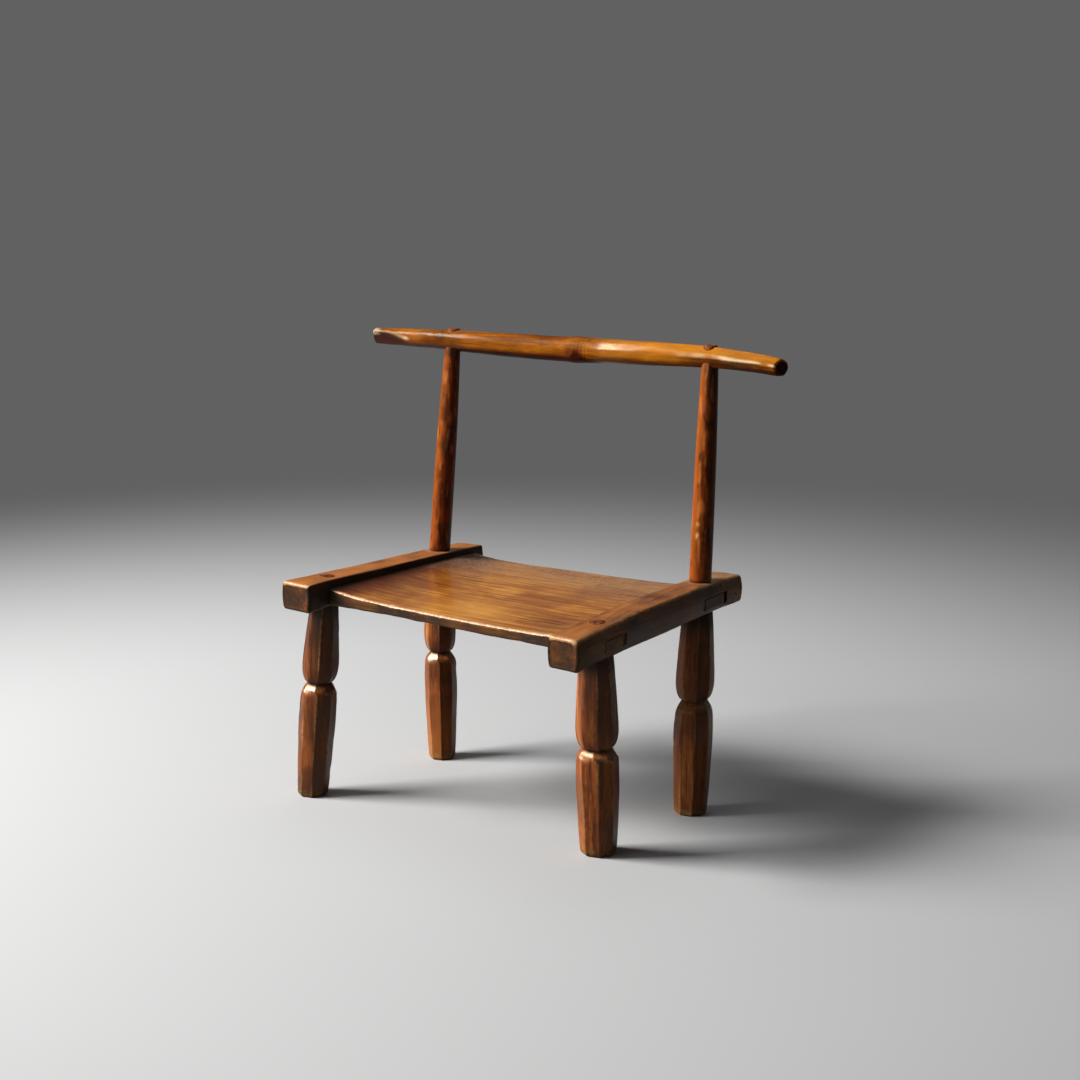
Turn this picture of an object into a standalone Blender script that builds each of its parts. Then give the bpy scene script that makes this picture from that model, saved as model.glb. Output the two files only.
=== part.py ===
"""A low carved chair, put together with through tenons and keys.

Two side rails carry a scooped seat board between them. Four faceted legs stand under the rails and two
leaning posts rise from them to a crest rail made from a branch. Metres, +Z up, and the sitter faces -Y.
The origin is on the floor, under the middle of the crest rail and halfway along the side rails. Left and
right are as seen from the front.
"""

import math

import bmesh
import bpy
from mathutils import Vector

FIT_GAP = 0.0003  # clearance between pieces that touch

# Side rails. The frame was built by eye: it rises towards the back, and more so on the right.
RAIL_LENGTH = 0.3654
RAIL_SPACING = 0.4294  # between the rails' centre lines
RAIL_WIDTH = 0.0412
RAIL_SIDE_BOW = 0.0014  # how far the sides swell halfway up
RAIL_UNDERSIDE = 0.2655
RAIL_CORNER = 0.0042
RAIL_END_ROUND = 0.0036
FRAME_OFFSET = 0.0166  # the rails' middle lies this far to the right of the crest rail's
FRAME_PITCH = 0.0032  # rise from the middle of a rail to its back end
FRAME_TWIST = 0.0048  # how much more of that the right rail has, and the left one lacks
RAILS = {
    # heights, and the radius to which the outer corner at the back is worn
    "left": {"side": -1, "front": 0.0312, "middle": 0.0338, "back": 0.0302, "worn": 0.0160},
    "right": {"side": 1, "front": 0.0380, "middle": 0.0414, "back": 0.0330, "worn": 0.0060},
}

# Seat board
SEAT_FRONT_SETBACK = 0.0385  # from the rails' front ends
SEAT_BACK_SETBACK = 0.0190  # from the rails' back ends
SEAT_RAISE = 0.0017  # the board's underside above the rails'
SEAT_END_THICKNESS = 0.0233  # against the rails
SEAT_SCOOP = 0.0062  # depth of the hollow in the top
SEAT_UNDERCUT = 0.0042  # hollow of the underside
SEAT_BACK_FALL = 0.0028  # the top falls away at the back edge
SEAT_FALL_POWER = 4.0
SEAT_SCOOP_POWER = 5.0  # how close to the rails the hollow turns up
SEAT_EDGE_ROUND = 0.0040

# The seat's tenons go right through the rails, each with a key beside it
TENON_THICKNESS = 0.0150
TENON_SHOULDER = 0.0012  # step from the board's top down to the tenon
TENON_ROOT = 0.0040  # how far the tenon's own shape reaches into the board
TENON_PROUD = 0.0006
KEY_THICKNESS = 0.0070
KEY_TAPER = 0.0024  # thinner by this much at the inner end
KEY_INSET = 0.0050  # its inner end stays this far inside the rail

# Legs. Each is an octagon in section: an upper bulb, a neck and a lower barrel.
LEG_FACETS = 8
LEG_HEAD_TAPER = 0.0056
LEG_NECK_DEPTH = 0.0086
LEG_BELLY = 0.0250  # length over which the bulb turns in to the neck
LEG_SHOULDER = 0.0075  # length of the chamfer below the neck
LEG_FLARE_POWER = 1.3  # how the bulb widens from the head down
LEG_SWELL = 0.0006
LEG_FOOT_TAPER = 0.0060
LEG_TAPER_START = 0.35  # share of the barrel above the taper
LEG_TAPER_POWER = 1.5
LEG_FOOT_CHAMFER = 0.0024
LEG_CORNER_TURN = math.radians(37.0)  # heading of one corner of the octagon
LEG_TENON_RADIUS = 0.0092
LEG_TENON_PROUD = 0.0015
LEG_TENON_EDGE = 0.0009
LEGS = {
    # head and foot: offsets from the rail's centre line, then from the head, as the legs were set by eye
    "front_left": {
        "rail": "left", "setback": 0.0580, "head": (-0.0013, 0.0), "foot": (-0.0186, -0.0110),
        "girth": 0.0234, "neck": 0.1100, "tenon": 0.0360, "key_depth": 0.0006,
    },
    "front_right": {
        "rail": "right", "setback": 0.0745, "head": (-0.0020, 0.0), "foot": (-0.0090, 0.0198),
        "girth": 0.0263, "neck": 0.1227, "tenon": 0.0370, "key_depth": 0.0006,
    },
    "rear_left": {
        "rail": "left", "setback": 0.0724, "head": (0.0018, -0.0030), "foot": (0.0142, -0.0149),
        "girth": 0.0222, "neck": 0.1107, "tenon": 0.0430, "key_depth": 0.0006,
    },
    "rear_right": {
        "rail": "right", "setback": 0.0660, "head": (0.0, -0.0050), "foot": (-0.0026, -0.0063),
        "girth": 0.0246, "neck": 0.1164, "tenon": 0.0450, "key_depth": 0.0140,
    },
}

# Back posts, which go down through the rails into the rear legs' heads
POST_TENON_RADIUS = 0.0092
POST_SOCKET_DEPTH = 0.0240  # into the leg, below the rail
POST_TOP_RADIUS = 0.0104  # under the crest rail
POST_TIP_RADIUS = 0.0086  # where it comes out on top
POST_PROUD = 0.0028
POST_TIP_ROUND = 0.0020
POST_TAPER_POWER = 2.6
POSTS = {
    "left": {"leg": "rear_left", "radius": 0.0142, "lean": (0.0023, 0.0276)},
    "right": {"leg": "rear_right", "radius": 0.0144, "lean": (-0.0040, 0.0218)},
}

# Crest rail
CREST_LENGTH = 0.6710
CREST_HEIGHT = 0.5938  # its centre line, halfway along
CREST_RISE = 0.0078  # from one end to the other, left to right
CREST_RADIUS = 0.0166
CREST_LEFT_RADIUS = 0.0100
CREST_RIGHT_RADIUS = 0.0106
CREST_TAPER_POWER = 1.6
CREST_FLATTENING = 0.95  # depth over height
CREST_SQUARENESS = 2.3
CREST_LEFT_DROOP = 0.0016
CREST_RIGHT_DROOP = 0.0072
CREST_DROOP_START = 0.140  # from the end
CREST_END_ROUND = 0.0045
CREST_KNOT_PLACE = 0.0200
CREST_KNOT_SWELL = 0.0012
CREST_KNOT_SPAN = 0.0120
CREST_FACET_LENGTH = 0.0600  # the slanting cut on the front of the left end
CREST_FACET_DEPTH = 0.0115  # at its lower edge

# How finely shapes are divided
SIDES = 2 * LEG_FACETS  # of a round section, so that a leg's tenon joins its faceted head
CORNER_STEPS = 3
END_ANGLES = (0, 30, 60, 90)  # round an end
WORN_ANGLES = (50, 70, 90)  # round a worn corner
BELLY_ANGLES = (0, 30, 55, 75, 90)  # round the bottom of a leg's bulb
POST_PLACES = (0.2, 0.4, 0.6, 0.75, 0.88, 1.0)  # shares of a post's height up to the crest rail
RAIL_BAYS = 8
SEAT_BAYS = 8
CREST_BAYS = 26
LEG_BULB_STEPS = 5
LEG_BARREL_STEPS = 8
SHARP_ANGLE = math.radians(32)  # edges that turn more than this stay crisp
CUT_MARGIN = 0.0100  # how far a cutter reaches past what it cuts

COLOURS = {
    "rail_wood": (0.235, 0.098, 0.036, 1.0),
    "seat_wood": (0.380, 0.180, 0.062, 1.0),
    "leg_wood": (0.165, 0.055, 0.026, 1.0),
    "post_wood": (0.210, 0.072, 0.028, 1.0),
    "crest_wood": (0.520, 0.225, 0.055, 1.0),
    "key_wood": (0.260, 0.115, 0.045, 1.0),
}
ROUGHNESS = {
    "rail_wood": 0.40, "seat_wood": 0.38, "leg_wood": 0.45,
    "post_wood": 0.38, "crest_wood": 0.28, "key_wood": 0.55,
}

FRONT_END = -RAIL_LENGTH / 2
BACK_END = RAIL_LENGTH / 2
SEAT_FRONT = FRONT_END + SEAT_FRONT_SETBACK
SEAT_BACK = BACK_END - SEAT_BACK_SETBACK
SEAT_HALF_SPAN = RAIL_SPACING / 2 - RAIL_WIDTH / 2 - RAIL_SIDE_BOW - FIT_GAP
SEAT_UNDERSIDE = RAIL_UNDERSIDE + SEAT_RAISE
SEAT_TOP = SEAT_UNDERSIDE + SEAT_END_THICKNESS


def lift(x, y):
    """How far the frame has risen at a point, because of its pitch and twist."""
    across = (x - FRAME_OFFSET) / (RAIL_SPACING / 2)
    along = y / (RAIL_LENGTH / 2)
    return (FRAME_PITCH + FRAME_TWIST * across) * along


def lifted(ring):
    return [(x, y, z + lift(x, y)) for x, y, z in ring]


def rail_x(rail):
    return FRAME_OFFSET + RAILS[rail]["side"] * RAIL_SPACING / 2


def rail_height(rail, y):
    """A rail's height, on a parabola through those at its front, middle and back."""
    sizes = RAILS[rail]
    along = y / (RAIL_LENGTH / 2)
    slope = (sizes["back"] - sizes["front"]) / 2
    crown = sizes["middle"] - (sizes["back"] + sizes["front"]) / 2
    return sizes["middle"] + slope * along - crown * along * along


def rail_top(rail, x, y):
    return RAIL_UNDERSIDE + rail_height(rail, y) + lift(x, y)


def joint_y(leg):
    """Where a leg, or the post over it, goes through its rail."""
    setback = LEGS[leg]["setback"]
    return FRONT_END + setback if leg.startswith("front") else BACK_END - setback


def quarter_round(distance, radius):
    """How far a rounded end has drawn in at a distance from its tip."""
    if distance >= radius:
        return 0.0
    return radius - math.sqrt(radius * radius - (radius - distance) ** 2)


def wood(name):
    """The named material, made the first time it is asked for."""
    if name in bpy.data.materials:
        return bpy.data.materials[name]
    material = bpy.data.materials.new(name)
    material.use_nodes = True
    shader = material.node_tree.nodes["Principled BSDF"]
    shader.inputs["Base Color"].default_value = COLOURS[name]
    shader.inputs["Roughness"].default_value = ROUGHNESS[name]
    shader.inputs["Metallic"].default_value = 0.0
    return material


def add_solid(name, rings, origin, material=None):
    """A closed object whose skin joins each ring of points to the next, with a cap on both ends."""
    origin = Vector(origin)
    mesh = bpy.data.meshes.new(name)
    bm = bmesh.new()
    loops = [[bm.verts.new(Vector(point) - origin) for point in ring] for ring in rings]
    for lower, upper in zip(loops, loops[1:]):
        for k in range(len(lower)):
            n = (k + 1) % len(lower)
            bm.faces.new((lower[k], lower[n], upper[n], upper[k]))
    bm.faces.new(loops[0])
    bm.faces.new(loops[-1])
    bmesh.ops.recalc_face_normals(bm, faces=bm.faces)
    bm.to_mesh(mesh)
    bm.free()
    mesh.shade_smooth()
    mesh.set_sharp_from_angle(angle=SHARP_ANGLE)
    solid = bpy.data.objects.new(name, mesh)
    solid.location = origin
    solid.parent = bpy.data.objects["chair"]
    bpy.context.collection.objects.link(solid)
    if material:
        mesh.materials.append(wood(material))
    return solid


def add_helper(name, rings):
    """A shape that only cuts or joins others."""
    helper = add_solid(name, rings, (0, 0, 0))
    helper.hide_render = True
    helper.display_type = "WIRE"
    return helper


def apply_shape(solid, helper, operation):
    modifier = solid.modifiers.new(f"{operation.lower()} {helper.name}", "BOOLEAN")
    modifier.operation = operation
    modifier.solver = "EXACT"
    modifier.object = helper


def box_rings(x_range, y_range, z_range):
    """A box between two ends in X, following the frame's pitch and twist."""
    (y0, y1), (z0, z1) = y_range, z_range
    corners = ((y0, z0), (y1, z0), (y1, z1), (y0, z1))
    return [lifted([(x, y, z) for y, z in corners]) for x in x_range]


def ring_points(centre, reaches, z, turn):
    """Level points round a centre, one for each reach."""
    points = []
    for k, reach in enumerate(reaches):
        angle = turn + 2 * math.pi * k / len(reaches)
        points.append((centre[0] + reach * math.cos(angle), centre[1] + reach * math.sin(angle), z))
    return points


def round_ring(centre, radius, z, turn=0.0):
    return ring_points(centre, [radius] * SIDES, z, turn)


def faceted_ring(centre, radius, z):
    """Round a leg's section: its corners and the middles of its facets in turn."""
    flat = radius * math.cos(math.pi / LEG_FACETS)
    return ring_points(centre, [radius, flat] * LEG_FACETS, z, LEG_CORNER_TURN)


# Side rails


def rail_section(rail, y):
    """A rounded outline across a rail, drawn in near the ends."""
    side = RAILS[rail]["side"]
    from_front, from_back = y - FRONT_END, BACK_END - y
    inset = max(quarter_round(from_front, RAIL_END_ROUND), quarter_round(from_back, RAIL_END_ROUND))
    outer = RAIL_WIDTH / 2 - max(inset, quarter_round(from_back, RAILS[rail]["worn"]))
    inner = RAIL_WIDTH / 2 - inset
    bottom = RAIL_UNDERSIDE + inset
    top = RAIL_UNDERSIDE + rail_height(rail, y) - inset
    radius = RAIL_CORNER
    corners = (
        (outer - radius, bottom + radius, -90),
        (outer - radius, top - radius, 0),
        (radius - inner, top - radius, 90),
        (radius - inner, bottom + radius, 180),
    )
    outline = []
    for u, z, start in corners:
        for step in range(CORNER_STEPS + 1):
            angle = math.radians(start + 90 * step / CORNER_STEPS)
            outline.append((u + radius * math.cos(angle), z + radius * math.sin(angle)))
        if start == -90:
            outline.append((outer + RAIL_SIDE_BOW, (bottom + top) / 2))
        if start == 90:
            outline.append((-inner - RAIL_SIDE_BOW, (bottom + top) / 2))
    return lifted([(rail_x(rail) + side * u, y, z) for u, z in outline])


def rounded_steps(radius, angles):
    """Distances from the tip of a rounded end to the given angles round it."""
    return [radius * (1 - math.cos(math.radians(angle))) for angle in angles]


def rail_stations(rail):
    """Places along a rail: close together in the rounded ends, wider apart between them."""
    front = rounded_steps(RAIL_END_ROUND, END_ANGLES)
    back = front + rounded_steps(RAILS[rail]["worn"], WORN_ANGLES)
    first, last = FRONT_END + max(front), BACK_END - max(back)
    between = [first + (last - first) * k / RAIL_BAYS for k in range(1, RAIL_BAYS)]
    return sorted([FRONT_END + d for d in front] + between + [BACK_END - d for d in back])


def add_rail(rail):
    rings = [rail_section(rail, y) for y in rail_stations(rail)]
    middle = (rail_x(rail), 0, RAIL_UNDERSIDE)
    return add_solid(f"{rail}_side_rail", rings, middle, "rail_wood")


# Seat board


def seat_fall(y):
    """How far the board's top has fallen away towards its back edge."""
    share = (y - SEAT_FRONT) / (SEAT_BACK - SEAT_FRONT)
    return SEAT_BACK_FALL * share**SEAT_FALL_POWER


def seat_section(x):
    """An outline from front to back across the board, with a scooped top and an undercut base."""
    across = abs(x - FRAME_OFFSET) / SEAT_HALF_SPAN
    scoop = SEAT_SCOOP * (1 - across**SEAT_SCOOP_POWER)
    base = SEAT_UNDERSIDE + SEAT_UNDERCUT * (1 - across * across)
    r = SEAT_EDGE_ROUND

    def top(y):
        return SEAT_TOP - scoop - seat_fall(y)

    ease = r * (1 - math.sqrt(0.5))
    outline = [(SEAT_FRONT, base + r), (SEAT_FRONT + ease, base + ease), (SEAT_FRONT + r, base)]
    outline += [(SEAT_BACK - r, base), (SEAT_BACK - ease, base + ease), (SEAT_BACK, base + r)]
    outline += [(SEAT_BACK, top(SEAT_BACK) - r), (SEAT_BACK - ease, top(SEAT_BACK) - ease)]
    run = SEAT_BACK - SEAT_FRONT - 2 * r
    inner = [SEAT_BACK - r - run * k / SEAT_BAYS for k in range(SEAT_BAYS + 1)]
    outline += [(y, top(y)) for y in inner]
    outline += [(SEAT_FRONT + ease, top(SEAT_FRONT) - ease), (SEAT_FRONT, top(SEAT_FRONT) - r)]
    return lifted([(x, y, z) for y, z in outline])


def add_seat():
    places = [math.sin(math.pi / 2 * k / SEAT_BAYS) for k in range(-SEAT_BAYS, SEAT_BAYS + 1)]
    rings = [seat_section(FRAME_OFFSET + SEAT_HALF_SPAN * place) for place in places]
    return add_solid("seat_board", rings, (FRAME_OFFSET, 0, SEAT_UNDERSIDE), "seat_wood")


def tenon_y(leg):
    """The front and back of the seat tenon that a leg or post goes through."""
    half = LEGS[leg]["tenon"] / 2
    return joint_y(leg) - half, joint_y(leg) + half


def tenon_z(leg):
    """The bottom and top of that tenon, which stays below the board's top."""
    top = SEAT_TOP - TENON_SHOULDER - seat_fall(tenon_y(leg)[1])
    return top - TENON_THICKNESS, top


def outer_face(rail):
    """The outside of a rail, halfway up."""
    return rail_x(rail) + RAILS[rail]["side"] * (RAIL_WIDTH / 2 + RAIL_SIDE_BOW)


def join_seat(seat, rails, leg):
    """A through tenon on the seat, its mortise in the rail, and the key that tightens it."""
    rail = LEGS[leg]["rail"]
    side = RAILS[rail]["side"]
    front, back = tenon_y(leg)
    root = FRAME_OFFSET + side * (SEAT_HALF_SPAN - TENON_ROOT)
    end = outer_face(rail) + side * TENON_PROUD
    levels = bottom, top = tenon_z(leg)
    tenon = add_helper(f"{leg} tenon", box_rings((root, end), (front, back), levels))
    apply_shape(seat, tenon, "UNION")

    outside = outer_face(rail) + side * CUT_MARGIN
    key_front = back + FIT_GAP
    key_back = key_front + KEY_THICKNESS
    mortise_y = (front - FIT_GAP, key_back + FIT_GAP)
    mortise_z = (bottom - FIT_GAP, top + FIT_GAP)
    mortise = add_helper(f"{leg} mortise", box_rings((root, outside), mortise_y, mortise_z))
    apply_shape(rails[rail], mortise, "DIFFERENCE")

    head = outer_face(rail) - side * LEGS[leg]["key_depth"]
    tip = rail_x(rail) - side * (RAIL_WIDTH / 2 - KEY_INSET)
    rings = [
        box_rings((head,), (key_front, key_back), levels)[0],
        box_rings((tip,), (key_front, key_back - KEY_TAPER), levels)[0],
    ]
    add_solid(f"{leg}_tenon_key", rings, (head, key_front, bottom), "key_wood")


# Legs


def leg_axis(leg):
    """The middle of a leg's head, under its rail, and of its foot, on the floor."""
    sizes = LEGS[leg]
    x = rail_x(sizes["rail"]) + sizes["head"][0]
    y = joint_y(leg) + sizes["head"][1]
    head = Vector((x, y, RAIL_UNDERSIDE - FIT_GAP))
    foot = Vector((x + sizes["foot"][0], y + sizes["foot"][1], 0.0))
    return head, foot


def on_axis(leg, z):
    head, foot = leg_axis(leg)
    return foot + (head - foot) * (z / head.z)


def leg_profile(leg):
    """Heights and radii from the head down to the foot."""
    girth, head = LEGS[leg]["girth"], RAIL_UNDERSIDE - FIT_GAP
    neck = head - LEGS[leg]["neck"]
    waist = girth - LEG_NECK_DEPTH
    belly = neck + LEG_BELLY
    shoulder = neck - LEG_SHOULDER
    profile = []
    for k in range(LEG_BULB_STEPS):
        rise = 1 - k / LEG_BULB_STEPS
        height = belly + (head - belly) * rise
        profile.append((height, girth - LEG_HEAD_TAPER * rise**LEG_FLARE_POWER))
    for angle in BELLY_ANGLES:
        turn = math.radians(angle)
        profile.append((belly - LEG_BELLY * math.sin(turn), waist + LEG_NECK_DEPTH * math.cos(turn)))
    for k in range(LEG_BARREL_STEPS + 1):
        down = k / LEG_BARREL_STEPS
        swell = LEG_SWELL * math.sin(math.pi * min(1.0, 2 * down))
        past = max(0.0, (down - LEG_TAPER_START) / (1 - LEG_TAPER_START))
        height = shoulder + (LEG_FOOT_CHAMFER - shoulder) * down
        profile.append((height, girth + swell - LEG_FOOT_TAPER * past**LEG_TAPER_POWER))
    profile.append((0.0, girth - LEG_FOOT_TAPER - LEG_FOOT_CHAMFER))
    return profile


def fitted_ring(ring):
    """Tilts a ring of a leg to suit the rail over it, less and less towards the level foot."""
    head = RAIL_UNDERSIDE - FIT_GAP
    return [(x, y, z + lift(x, y) * min(1.0, z / head)) for x, y, z in ring]


def tenon_rings(leg, steps):
    """Rings of a front leg's round tenon, or of its bore, that face the corners of the octagon."""
    rings = [round_ring(on_axis(leg, z), radius, z, LEG_CORNER_TURN) for z, radius in steps]
    return [fitted_ring(ring) for ring in rings]


def tenon_tip(leg):
    """The end of a front leg's tenon, just above its rail, before the frame's pitch and twist."""
    return RAIL_UNDERSIDE + rail_height(LEGS[leg]["rail"], joint_y(leg)) + LEG_TENON_PROUD


def add_leg(leg):
    rings = [fitted_ring(faceted_ring(on_axis(leg, z), r, z)) for z, r in leg_profile(leg)]
    if leg.startswith("front"):
        tip, radius = tenon_tip(leg), LEG_TENON_RADIUS
        steps = ((tip, radius - LEG_TENON_EDGE), (tip - LEG_TENON_EDGE, radius))
        steps += ((RAIL_UNDERSIDE - FIT_GAP, radius),)
        rings = tenon_rings(leg, steps) + rings
    return add_solid(f"{leg}_leg", rings, leg_axis(leg)[0], "leg_wood")


def bore_for_front_leg(seat, rails, leg):
    radius = LEG_TENON_RADIUS + FIT_GAP
    steps = ((RAIL_UNDERSIDE - CUT_MARGIN, radius), (tenon_tip(leg) + CUT_MARGIN, radius))
    bore = add_helper(f"{leg} bore", tenon_rings(leg, steps))
    apply_shape(rails[LEGS[leg]["rail"]], bore, "DIFFERENCE")
    apply_shape(seat, bore, "DIFFERENCE")


# Back posts and crest rail


def post_foot(post):
    """Where a post's axis meets the top of its rail."""
    leg = POSTS[post]["leg"]
    rail = LEGS[leg]["rail"]
    x, y = rail_x(rail), joint_y(leg)
    return Vector((x, y, rail_top(rail, x, y)))


def post_point(post, z):
    """The post's axis at a height. The lean is how far it has moved when it reaches the crest rail."""
    foot = post_foot(post)
    lean = POSTS[post]["lean"]
    share = (z - foot.z) / (CREST_HEIGHT - foot.z)
    return Vector((foot.x + lean[0] * share, foot.y + lean[1] * share, z))


def crest_z(x):
    """The crest rail's centre line: a slight slope, with ends that droop."""
    half = CREST_LENGTH / 2
    droop = CREST_LEFT_DROOP if x < 0 else CREST_RIGHT_DROOP
    past = max(0.0, abs(x) - (half - CREST_DROOP_START)) / CREST_DROOP_START
    return CREST_HEIGHT + CREST_RISE * x / CREST_LENGTH - droop * past * past


def crest_y(x):
    """The crest rail runs straight from one post to the other, and on past them."""
    left, right = (post_point(post, CREST_HEIGHT) for post in ("left", "right"))
    return left.y + (right.y - left.y) * (x - left.x) / (right.x - left.x)


def crest_radius(x):
    """Half the crest rail's height: thickest in the middle, with a knot near it."""
    end = CREST_LEFT_RADIUS if x < 0 else CREST_RIGHT_RADIUS
    share = min(1.0, abs(x) / (CREST_LENGTH / 2))
    knot = CREST_KNOT_SWELL * math.exp(-(((x - CREST_KNOT_PLACE) / CREST_KNOT_SPAN) ** 2))
    return end + (CREST_RADIUS - end) * (1 - share**CREST_TAPER_POWER) + knot


def crest_section(x, shrink):
    ring = []
    for k in range(SIDES):
        angle = 2 * math.pi * (k + 0.5) / SIDES
        power = 2 / CREST_SQUARENESS
        u = math.copysign(abs(math.cos(angle)) ** power, math.cos(angle))
        w = math.copysign(abs(math.sin(angle)) ** power, math.sin(angle))
        reach = crest_radius(x) - shrink
        ring.append((x, crest_y(x) + CREST_FLATTENING * reach * u, crest_z(x) + reach * w))
    return ring


def add_crest():
    half = CREST_LENGTH / 2
    ends = rounded_steps(CREST_END_ROUND, END_ANGLES)
    inner = half - CREST_END_ROUND
    steps = [(-half + d, quarter_round(d, CREST_END_ROUND)) for d in ends]
    steps += [(-inner + 2 * inner * k / CREST_BAYS, 0.0) for k in range(1, CREST_BAYS)]
    steps += [(half - d, quarter_round(d, CREST_END_ROUND)) for d in reversed(ends)]
    rings = [crest_section(x, shrink) for x, shrink in steps]
    crest = add_solid("crest_rail", rings, (0, crest_y(0), crest_z(0)), "crest_wood")
    apply_shape(crest, crest_facet(), "DIFFERENCE")
    return crest


def crest_facet():
    """A block that takes a slanting facet off the front of the left end, deepest at the bottom."""
    end = -CREST_LENGTH / 2
    rings = []
    for x, depth in ((end - CUT_MARGIN, CREST_FACET_DEPTH), (end + CREST_FACET_LENGTH, -FIT_GAP)):
        reach = crest_radius(x)
        front = crest_y(x) - CREST_FLATTENING * reach
        low, high = crest_z(x) - CREST_RADIUS - FIT_GAP, crest_z(x) + reach
        face = [(x, front + depth, low), (x, front - FIT_GAP, high)]
        rings.append([(x, front - CUT_MARGIN, low)] + face + [(x, front - CUT_MARGIN, high)])
    return add_helper("crest facet", rings)


def crest_underside(post):
    x = post_point(post, CREST_HEIGHT).x
    return crest_z(x) - crest_radius(x)


def post_tip(post):
    x = post_point(post, CREST_HEIGHT).x
    return crest_z(x) + crest_radius(x) + POST_PROUD


def post_radius(post, z):
    """Radius of a post above its rail: a slow taper up to the crest rail and a steady one inside it."""
    foot, crest = post_foot(post), crest_underside(post)
    base = POSTS[post]["radius"]
    if z <= crest:
        share = (z - foot.z) / (crest - foot.z)
        return base - (base - POST_TOP_RADIUS) * share**POST_TAPER_POWER
    share = (z - crest) / (post_tip(post) - crest)
    return POST_TOP_RADIUS - (POST_TOP_RADIUS - POST_TIP_RADIUS) * share


def seated_ring(post, radius):
    """A ring on the crowned top of the rail."""
    rail = LEGS[POSTS[post]["leg"]]["rail"]
    foot = post_foot(post)
    return [(x, y, rail_top(rail, x, y) + FIT_GAP) for x, y, _ in round_ring(foot, radius, foot.z)]


def post_socket_floor(post):
    foot = post_foot(post)
    return RAIL_UNDERSIDE + lift(foot.x, foot.y) - POST_SOCKET_DEPTH


def add_post(post):
    foot, crest, tip = post_foot(post), crest_underside(post), post_tip(post)
    bottom = post_socket_floor(post) + FIT_GAP
    rings = [round_ring(post_point(post, bottom), POST_TENON_RADIUS, bottom)]
    rings += [seated_ring(post, POST_TENON_RADIUS), seated_ring(post, POSTS[post]["radius"])]
    heights = [foot.z + (crest - foot.z) * share for share in POST_PLACES]
    heights.append(tip - POST_TIP_ROUND)
    rings += [round_ring(post_point(post, z), post_radius(post, z), z) for z in heights]
    rings.append(round_ring(post_point(post, tip), post_radius(post, tip) - POST_TIP_ROUND, tip))
    return add_solid(f"{post}_back_post", rings, foot, "post_wood")


def bore_for_post(seat, rails, legs, crest, post):
    """The post's bore through the rail and the seat's tenon into the leg, and its hole in the crest rail."""
    leg = POSTS[post]["leg"]
    radius = POST_TENON_RADIUS + FIT_GAP
    heights = (post_socket_floor(post), post_foot(post).z + CUT_MARGIN)
    rings = [round_ring(post_point(post, z), radius, z) for z in heights]
    bore = add_helper(f"{post} post bore", rings)
    for solid in (rails[LEGS[leg]["rail"]], seat, legs[leg]):
        apply_shape(solid, bore, "DIFFERENCE")

    entry = crest_underside(post)
    heights = (entry - CUT_MARGIN, entry, post_tip(post) + CUT_MARGIN)
    rings = [round_ring(post_point(post, z), post_radius(post, z) + FIT_GAP, z) for z in heights]
    apply_shape(crest, add_helper(f"{post} crest hole", rings), "DIFFERENCE")


def build():
    for old in list(bpy.data.objects):
        bpy.data.objects.remove(old, do_unlink=True)
    chair = bpy.data.objects.new("chair", None)
    bpy.context.collection.objects.link(chair)

    rails = {rail: add_rail(rail) for rail in RAILS}
    seat = add_seat()
    for leg in LEGS:
        join_seat(seat, rails, leg)
    legs = {leg: add_leg(leg) for leg in LEGS}
    for leg in ("front_left", "front_right"):
        bore_for_front_leg(seat, rails, leg)
    crest = add_crest()
    for post in POSTS:
        add_post(post)
        bore_for_post(seat, rails, legs, crest, post)


build()
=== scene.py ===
"""Looks of a low carved chair: hand-worked shapes in worn wood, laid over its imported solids.

Metres, +Z up, and the sitter faces -Y. Left and right are as seen from the front. Each piece lies where its
solid is, and most sizes are the part's own.
"""

from collections import namedtuple
from math import atan, atan2, copysign, cos, exp, hypot, pi, radians, remainder, sin, sqrt, tan
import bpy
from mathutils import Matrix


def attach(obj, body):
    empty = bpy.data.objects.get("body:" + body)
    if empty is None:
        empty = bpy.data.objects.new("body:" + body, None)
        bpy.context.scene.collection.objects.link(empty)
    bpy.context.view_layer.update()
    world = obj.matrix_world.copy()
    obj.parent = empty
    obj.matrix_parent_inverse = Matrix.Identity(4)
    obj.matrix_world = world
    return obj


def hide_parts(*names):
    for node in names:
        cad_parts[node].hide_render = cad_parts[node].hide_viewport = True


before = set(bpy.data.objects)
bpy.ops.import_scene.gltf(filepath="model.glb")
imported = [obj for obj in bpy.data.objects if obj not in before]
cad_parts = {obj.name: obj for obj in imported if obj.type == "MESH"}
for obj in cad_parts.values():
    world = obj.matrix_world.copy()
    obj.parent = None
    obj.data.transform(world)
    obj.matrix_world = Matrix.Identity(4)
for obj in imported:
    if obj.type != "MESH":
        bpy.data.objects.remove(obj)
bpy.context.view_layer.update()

from types import SimpleNamespace as Sizes

import bmesh
import bpy
from mathutils import Vector, noise

FIT_GAP = 0.0003

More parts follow.
